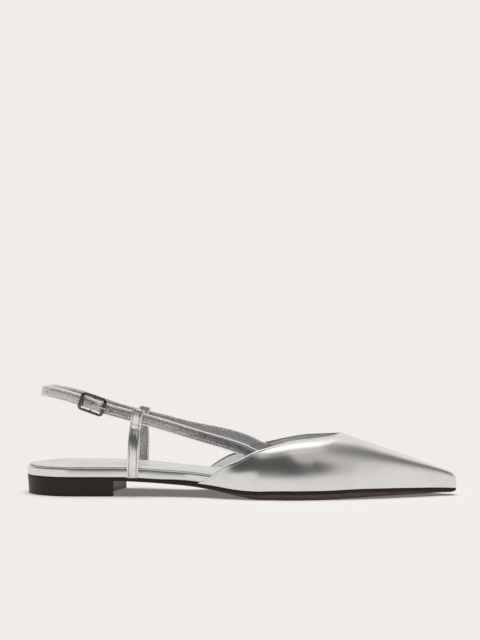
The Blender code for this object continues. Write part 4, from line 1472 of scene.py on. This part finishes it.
def through(points, steps):
    """A smooth curve through the points, with the same number of steps between each two."""
    made = []
    last = len(points) - 1
    for i in range(last):
        before = points[max(i - 1, 0)]
        after = points[min(i + 2, last)]
        a, b = points[i], points[i + 1]
        leave, arrive = (b - before) / 2, (after - a) / 2
        made += [bridge(a, leave, b, arrive, k / steps) for k in range(steps)]
    return made + [points[-1]]


def keeper_path(side):
    """Points of the keeper's middle line, its width directions, and where the flap begins."""
    along = KEEPER_FOOT_ALONG[side]
    rim = edge(along, side, -(GAP + KEEPER_THICKNESS / 2))
    foot = Vector((rim.x, rim.y, sole_top(along) + GAP))
    beside = Vector((rim.x, rim.y, board_top(along) - 0.0012))
    tangent = edge(along + 0.002, side) - edge(along - 0.002, side)
    flat = Vector((tangent.x, tangent.y, 0)).normalized()
    place, way, normal, up = sling_frame(share_at(KEEPER_TOP_ALONG[side]), side)
    off = STRAP_THICKNESS / 2 + GAP + KEEPER_THICKNESS / 2
    half = STRAP_WIDTH / 2
    bend = half - 0.15 * STRAP_THICKNESS

    def spot(out, rise):
        ahead = KEEPER_AHEAD[side] * ease((-rise - 0.5 * half) / (half + KEEPER_FLAP))
        return place + normal * out + up * rise + Vector((ahead, 0, 0))

    low = spot(-off, -half - GAP - KEEPER_FLAP)
    upright = [foot, beside]
    for rise in (0.12, 0.3, 0.5, 0.65, 0.8):
        straight = beside.lerp(low, rise)
        lean = beside.lerp(low, rise**4).y + side * KEEPER_BOW * math.sin(math.pi * rise)
        upright.append(Vector((straight.x, lean, straight.z)))
    upright.append(low)
    path = upright + [spot(-off, -half / 2), spot(-off, bend)]
    turns = [math.pi * i / 6 for i in range(1, 6)]
    path += [spot(-off * math.cos(turn), bend + off * math.sin(turn)) for turn in turns]
    path += [spot(off, bend), spot(off + KEEPER_SWELL, 0), spot(off, -half * 0.9)]
    rest = -off + KEEPER_THICKNESS + 0.0001
    path += [spot(off * 0.75, -half - GAP), spot(rest + 0.0003, -half - 0.55 * KEEPER_FLAP)]
    path += [spot(rest, -half - KEEPER_FLAP), spot(rest, -half - 1.5 * KEEPER_FLAP)]
    return path, flat, way, len(upright) - 1


def keeper_stops(side):
    """Places along a keeper, each with its width direction, normal, width and distance."""
    path, flat, way, turned_at = keeper_path(side)
    fine = through(path, KEEPER_STEPS)
    stops = []
    distance = 0.0
    last = len(fine) - 1
    for i, place in enumerate(fine):
        ahead = (fine[min(i + 1, last)] - fine[max(i - 1, 0)]).normalized()
        across = flat.lerp(way, ease(i / KEEPER_STEPS / turned_at)).normalized()
        normal = ahead.cross(across).normalized()
        distance += (place - fine[max(i - 1, 0)]).length
        stops.append((place, across, normal, KEEPER_WIDTH, distance))
    return stops


def build_keeper(name, side):
    # The fourth finish paints shade in the channels of the seams
    finishes = [KEEPER, KEEPER_INSIDE[side], KEEPER, PAINTED_SEAM_SHADE]
    return sweep(name, keeper_stops(side), finishes, KEEPER_THICKNESS)


stand_for(build_keeper("outer_keeper", OUTER), "strap_leather", "keeper_outer")
stand_for(build_keeper("inner_keeper", INNER), "strap_leather", "keeper_inner")

# %% [markdown]
# ## Buckle
#
# The frame is flat cast wire: a rectangle with round corners, bowed so that its ends stand up over the
# strap and its middle bar lies low. The prong is a thin wire hooked round that bar.

# %% Build the buckle
BUCKLE_CORNER = 0.0018
END_BAR = 0.5
FLATTENED = 0.55


def frame_outline():
    half_long = BUCKLE_LENGTH / 2 - BUCKLE_RIM
    half_wide = STRAP_WIDTH / 2 + BUCKLE_SIDE_ROOM + BUCKLE_RIM
    points = []
    for sx, sy, first in ((1, 1, 0), (-1, 1, 1), (-1, -1, 2), (1, -1, 3)):
        for i in range(9):
            turn = math.pi / 2 * (first + i / 8)
            x = sx * (half_long - BUCKLE_CORNER) + BUCKLE_CORNER * math.cos(turn)
            y = sy * (half_wide - BUCKLE_CORNER) + BUCKLE_CORNER * math.sin(turn)
            points.append((x, y))
        if first in (0, 2):
            points += [(sx * half_long * k / 5, sy * half_wide) for k in (3, 2, 1, 0, -1, -2, -3)]
    return points, half_long, half_wide


def build_frame():
    points, half_long, half_wide = frame_outline()
    place, way, normal, up = sling_frame(share_at(BUCKLE_ALONG), OUTER)
    section = []
    for i in range(16):
        turn = 2 * math.pi * i / 16
        c, s = math.cos(turn), math.sin(turn)
        wide = BUCKLE_RIM * math.copysign(abs(c) ** FLATTENED, c)
        section.append((wide, BUCKLE_WIRE * math.copysign(abs(s) ** FLATTENED, s)))
    rings = []
    for i, (x, y) in enumerate(points):
        before, after = points[i - 1], points[(i + 1) % len(points)]
        along = Vector((after[0] - before[0], after[1] - before[1])).normalized()
        out = Vector((along.y, -along.x))
        height = BAR_LIFT + BUCKLE_BOW * (x / half_long) ** 2
        end = ease((abs(x) - half_long + BUCKLE_CORNER) / BUCKLE_CORNER)
        ring = []
        for a, b in section:
            a = a * (1 + END_BAR * end) if a < 0 else a
            ring.append(place + way * (x + out.x * a) + up * (y + out.y * a) + normal * (height + b))
        rings.append(ring)
    piece = loft("buckle_rim", rings, [NICKEL], closed=True, angle=60)
    middle = place + normal * BAR_LIFT
    bar = rod("middle_bar", middle - up * half_wide, middle + up * half_wide, BUCKLE_WIRE)
    return cut_away(piece, [(bar, "UNION")])


def build_prong():
    place, way, normal, up = sling_frame(share_at(BUCKLE_ALONG), OUTER)
    bar = place + normal * BAR_LIFT
    above = OVER_BAR - BAR_LIFT + STRAP_THICKNESS / 2 + GAP + PRONG_WIRE
    rest = FRAME_LIFT - BAR_LIFT + BUCKLE_WIRE + GAP + PRONG_WIRE
    reach = BUCKLE_LENGTH / 2
    turns = (math.radians(20 - 50 * i) for i in range(6))
    spots = [(HOOK_RADIUS * math.cos(turn), HOOK_RADIUS * math.sin(turn)) for turn in turns]
    spots += [(0.0, HOOK_RADIUS + PRONG_WIRE), (0.0, above - 2 * PRONG_WIRE), (PRONG_WIRE, above)]
    spots += [(reach * 0.5, above + 0.4 * (rest - above)), (reach - BUCKLE_RIM, rest)]
    spots += [(reach + BUCKLE_WIRE, rest - PRONG_WIRE / 2)]
    path = through([bar + way * x + normal * z for x, z in spots], 6)
    rings = []
    last = len(path) - 1
    for i, spot in enumerate(path):
        ahead = (path[min(i + 1, last)] - path[max(i - 1, 0)]).normalized()
        out = ahead.cross(up).normalized()
        turns = [2 * math.pi * k / 16 for k in range(16)]
        thick = PRONG_WIRE * (1 - 0.45 * ease((i - last + 5) / 5))
        rings.append([spot + (up * math.cos(t) + out * math.sin(t)) * thick for t in turns])
    return loft("prong_pin", rings, [PRONG_NICKEL], angle=60)


stand_for(build_frame(), "buckle_metal", "buckle_frame")
stand_for(build_prong(), "buckle_metal", "buckle_prong")

# %% [markdown]
# ## Stitches
#
# Every seam is the same thing at another place: short threads, evenly spaced along a line. A Geometry
# Nodes tree resamples the line at the stitch pitch and sets one slim bead of thread on each point,
# turned along the line. Its pitch, length, radius and thread are inputs of the tree.

# %% The stitch tree
STITCH_PITCH = 0.0021
STITCH_LENGTH = 0.0016
STITCH_RADIUS = 0.00016


def stitch_tree():
    tree = bpy.data.node_groups.new("stitches", "GeometryNodeTree")
    tree.interface.new_socket("Geometry", in_out="INPUT", socket_type="NodeSocketGeometry")
    for name in ("Pitch", "Length", "Radius"):
        tree.interface.new_socket(name, in_out="INPUT", socket_type="NodeSocketFloat")
    tree.interface.new_socket("Thread", in_out="INPUT", socket_type="NodeSocketMaterial")
    tree.interface.new_socket("Geometry", in_out="OUTPUT", socket_type="NodeSocketGeometry")

    def add(kind, inputs=(), **settings):
        """A node with its settings. A socket among its inputs is linked, any other value is set."""
        node = tree.nodes.new(kind)
        for key, value in settings.items():
            setattr(node, key, value)
        for name, value in dict(inputs).items():
            if isinstance(value, bpy.types.NodeSocket):
                tree.links.new(value, node.inputs[name])
            else:
                node.inputs[name].default_value = value
        return node

    given = add("NodeGroupInput").outputs
    spaced = {"Curve": given["Geometry"], "Length": given["Pitch"]}
    line = add("GeometryNodeResampleCurve", spaced, mode="LENGTH").outputs[0]
    tangent = add("GeometryNodeInputTangent").outputs[0]
    turn = add("FunctionNodeAlignRotationToVector", {"Vector": tangent}, axis="Z").outputs[0]
    bead = add("GeometryNodeMeshUVSphere", {"Radius": given["Radius"], "Segments": 8, "Rings": 6}).outputs[0]
    double = add("ShaderNodeMath", {0: given["Radius"], 1: 2.0}, operation="MULTIPLY").outputs[0]
    ratio = add("ShaderNodeMath", {0: given["Length"], 1: double}, operation="DIVIDE").outputs[0]
    size = add("ShaderNodeCombineXYZ", {"X": 1.0, "Y": 1.0, "Z": ratio}).outputs[0]
    set_out = {"Points": line, "Instance": bead, "Rotation": turn, "Scale": size}
    beads = add("GeometryNodeInstanceOnPoints", set_out).outputs[0]
    solid = add("GeometryNodeRealizeInstances", {"Geometry": beads}).outputs[0]
    shade = add("GeometryNodeSetShadeSmooth", {"Geometry": solid}).outputs[0]
    painted = add("GeometryNodeSetMaterial", {"Geometry": shade, "Material": given["Thread"]}).outputs[0]
    add("NodeGroupOutput", {"Geometry": painted})
    return tree


STITCHES = stitch_tree()


def sew(name, lines, slot):
    """Stitches along several lines of points, as one plain mesh."""
    curve = bpy.data.curves.new(name, "CURVE")
    curve.dimensions = "3D"
    for points in lines:
        spline = curve.splines.new("POLY")
        spline.points.add(len(points) - 1)
        for spot, point in zip(spline.points, points):
            spot.co = (*point, 1)
    guide = add_object(name + "_line", curve)
    step = guide.modifiers.new("stitches", "NODES")
    step.node_group = STITCHES
    values = {"Pitch": STITCH_PITCH, "Length": STITCH_LENGTH, "Radius": STITCH_RADIUS, "Thread": THREAD}
    for item in STITCHES.interface.items_tree:
        if item.in_out == "INPUT" and item.name in values:
            step[item.identifier] = values[item.name]
    bpy.context.view_layer.update()
    deps = bpy.context.evaluated_depsgraph_get()
    mesh = bpy.data.meshes.new_from_object(guide.evaluated_get(deps))
    bpy.data.objects.remove(guide)
    return stand_for(add_object(name, mesh), slot)


print("stitch tree with", len(STITCHES.nodes), "nodes")

# %% [markdown]
# The topline has one row of stitches under its turned edge. The straps and keepers have a row near each
# edge, in the channel that the section leaves for it.

# %% Sew the seams
TOPLINE_SEAM = 0.0024
TOPLINE_SEAM_FROM = 0.003
TOPLINE_SEAM_ENDS = 0.0015
THREAD_SUNK = 0.6
OUTER_SEAM_FROM = FREE_TIP_ALONG + 0.004
INNER_SEAM_FROM = SLING_BACK_ALONG + 0.001
STRAP_SEAM_END = 0.143


def vamp_seams():
    lines = []
    for side in (OUTER, INNER):
        start = VAMP_REAR[side] + TOPLINE_SEAM_FROM
        end = THROAT_ALONG - TOPLINE_SEAM_ENDS
        count = 90
        places = [start + (end - start) * i / count for i in range(count + 1)]
        lines.append([vamp_point(a, side, TOPLINE_SEAM, STITCH_RADIUS * 0.2) for a in places])
    return lines


def strap_seams(side, start, lift):
    """The two rows of one strap, on its outer face."""
    lines = []
    count = 160
    for row in (-1, 1):
        line = []
        for i in range(count + 1):
            along = start + (STRAP_SEAM_END - start) * i / count
            place, _, normal, up = sling_frame(share_at(along), side)
            rise = lift(along) + STRAP_THICKNESS / 2 - SEAM_DEEP * THREAD_SUNK
            line.append(place + normal * rise + up * row * (STRAP_WIDTH / 2 - SEAM_IN))
        lines.append(line)
    return lines


def keeper_seams(side):
    """Four rows of one keeper: near both its sides, on both its faces."""
    rows = ((-1, -1), (-1, 1), (1, -1), (1, 1))
    lines = [[] for _ in rows]
    _, seam = rim_and_seam(KEEPER_WIDTH, KEEPER_THICKNESS)
    for place, across, normal, _, _ in keeper_stops(side):
        out = normal * (KEEPER_THICKNESS / 2 - SEAM_DEEP * THREAD_SUNK)
        to_side = across * (KEEPER_WIDTH / 2 - seam)
        for line, (face, row) in zip(lines, rows):
            line.append(place + out * face + to_side * row)
    return lines


sew("topline_stitches", vamp_seams(), "upper_leather")
outer_rows = strap_seams(OUTER, OUTER_SEAM_FROM, lambda a: outer_lift(a) + gather(a))
inner_rows = strap_seams(INNER, INNER_SEAM_FROM, lambda a: 0.0)
sew("strap_stitches", outer_rows + inner_rows, "strap_leather")
sew("keeper_stitches", keeper_seams(OUTER) + keeper_seams(INNER), "strap_leather")
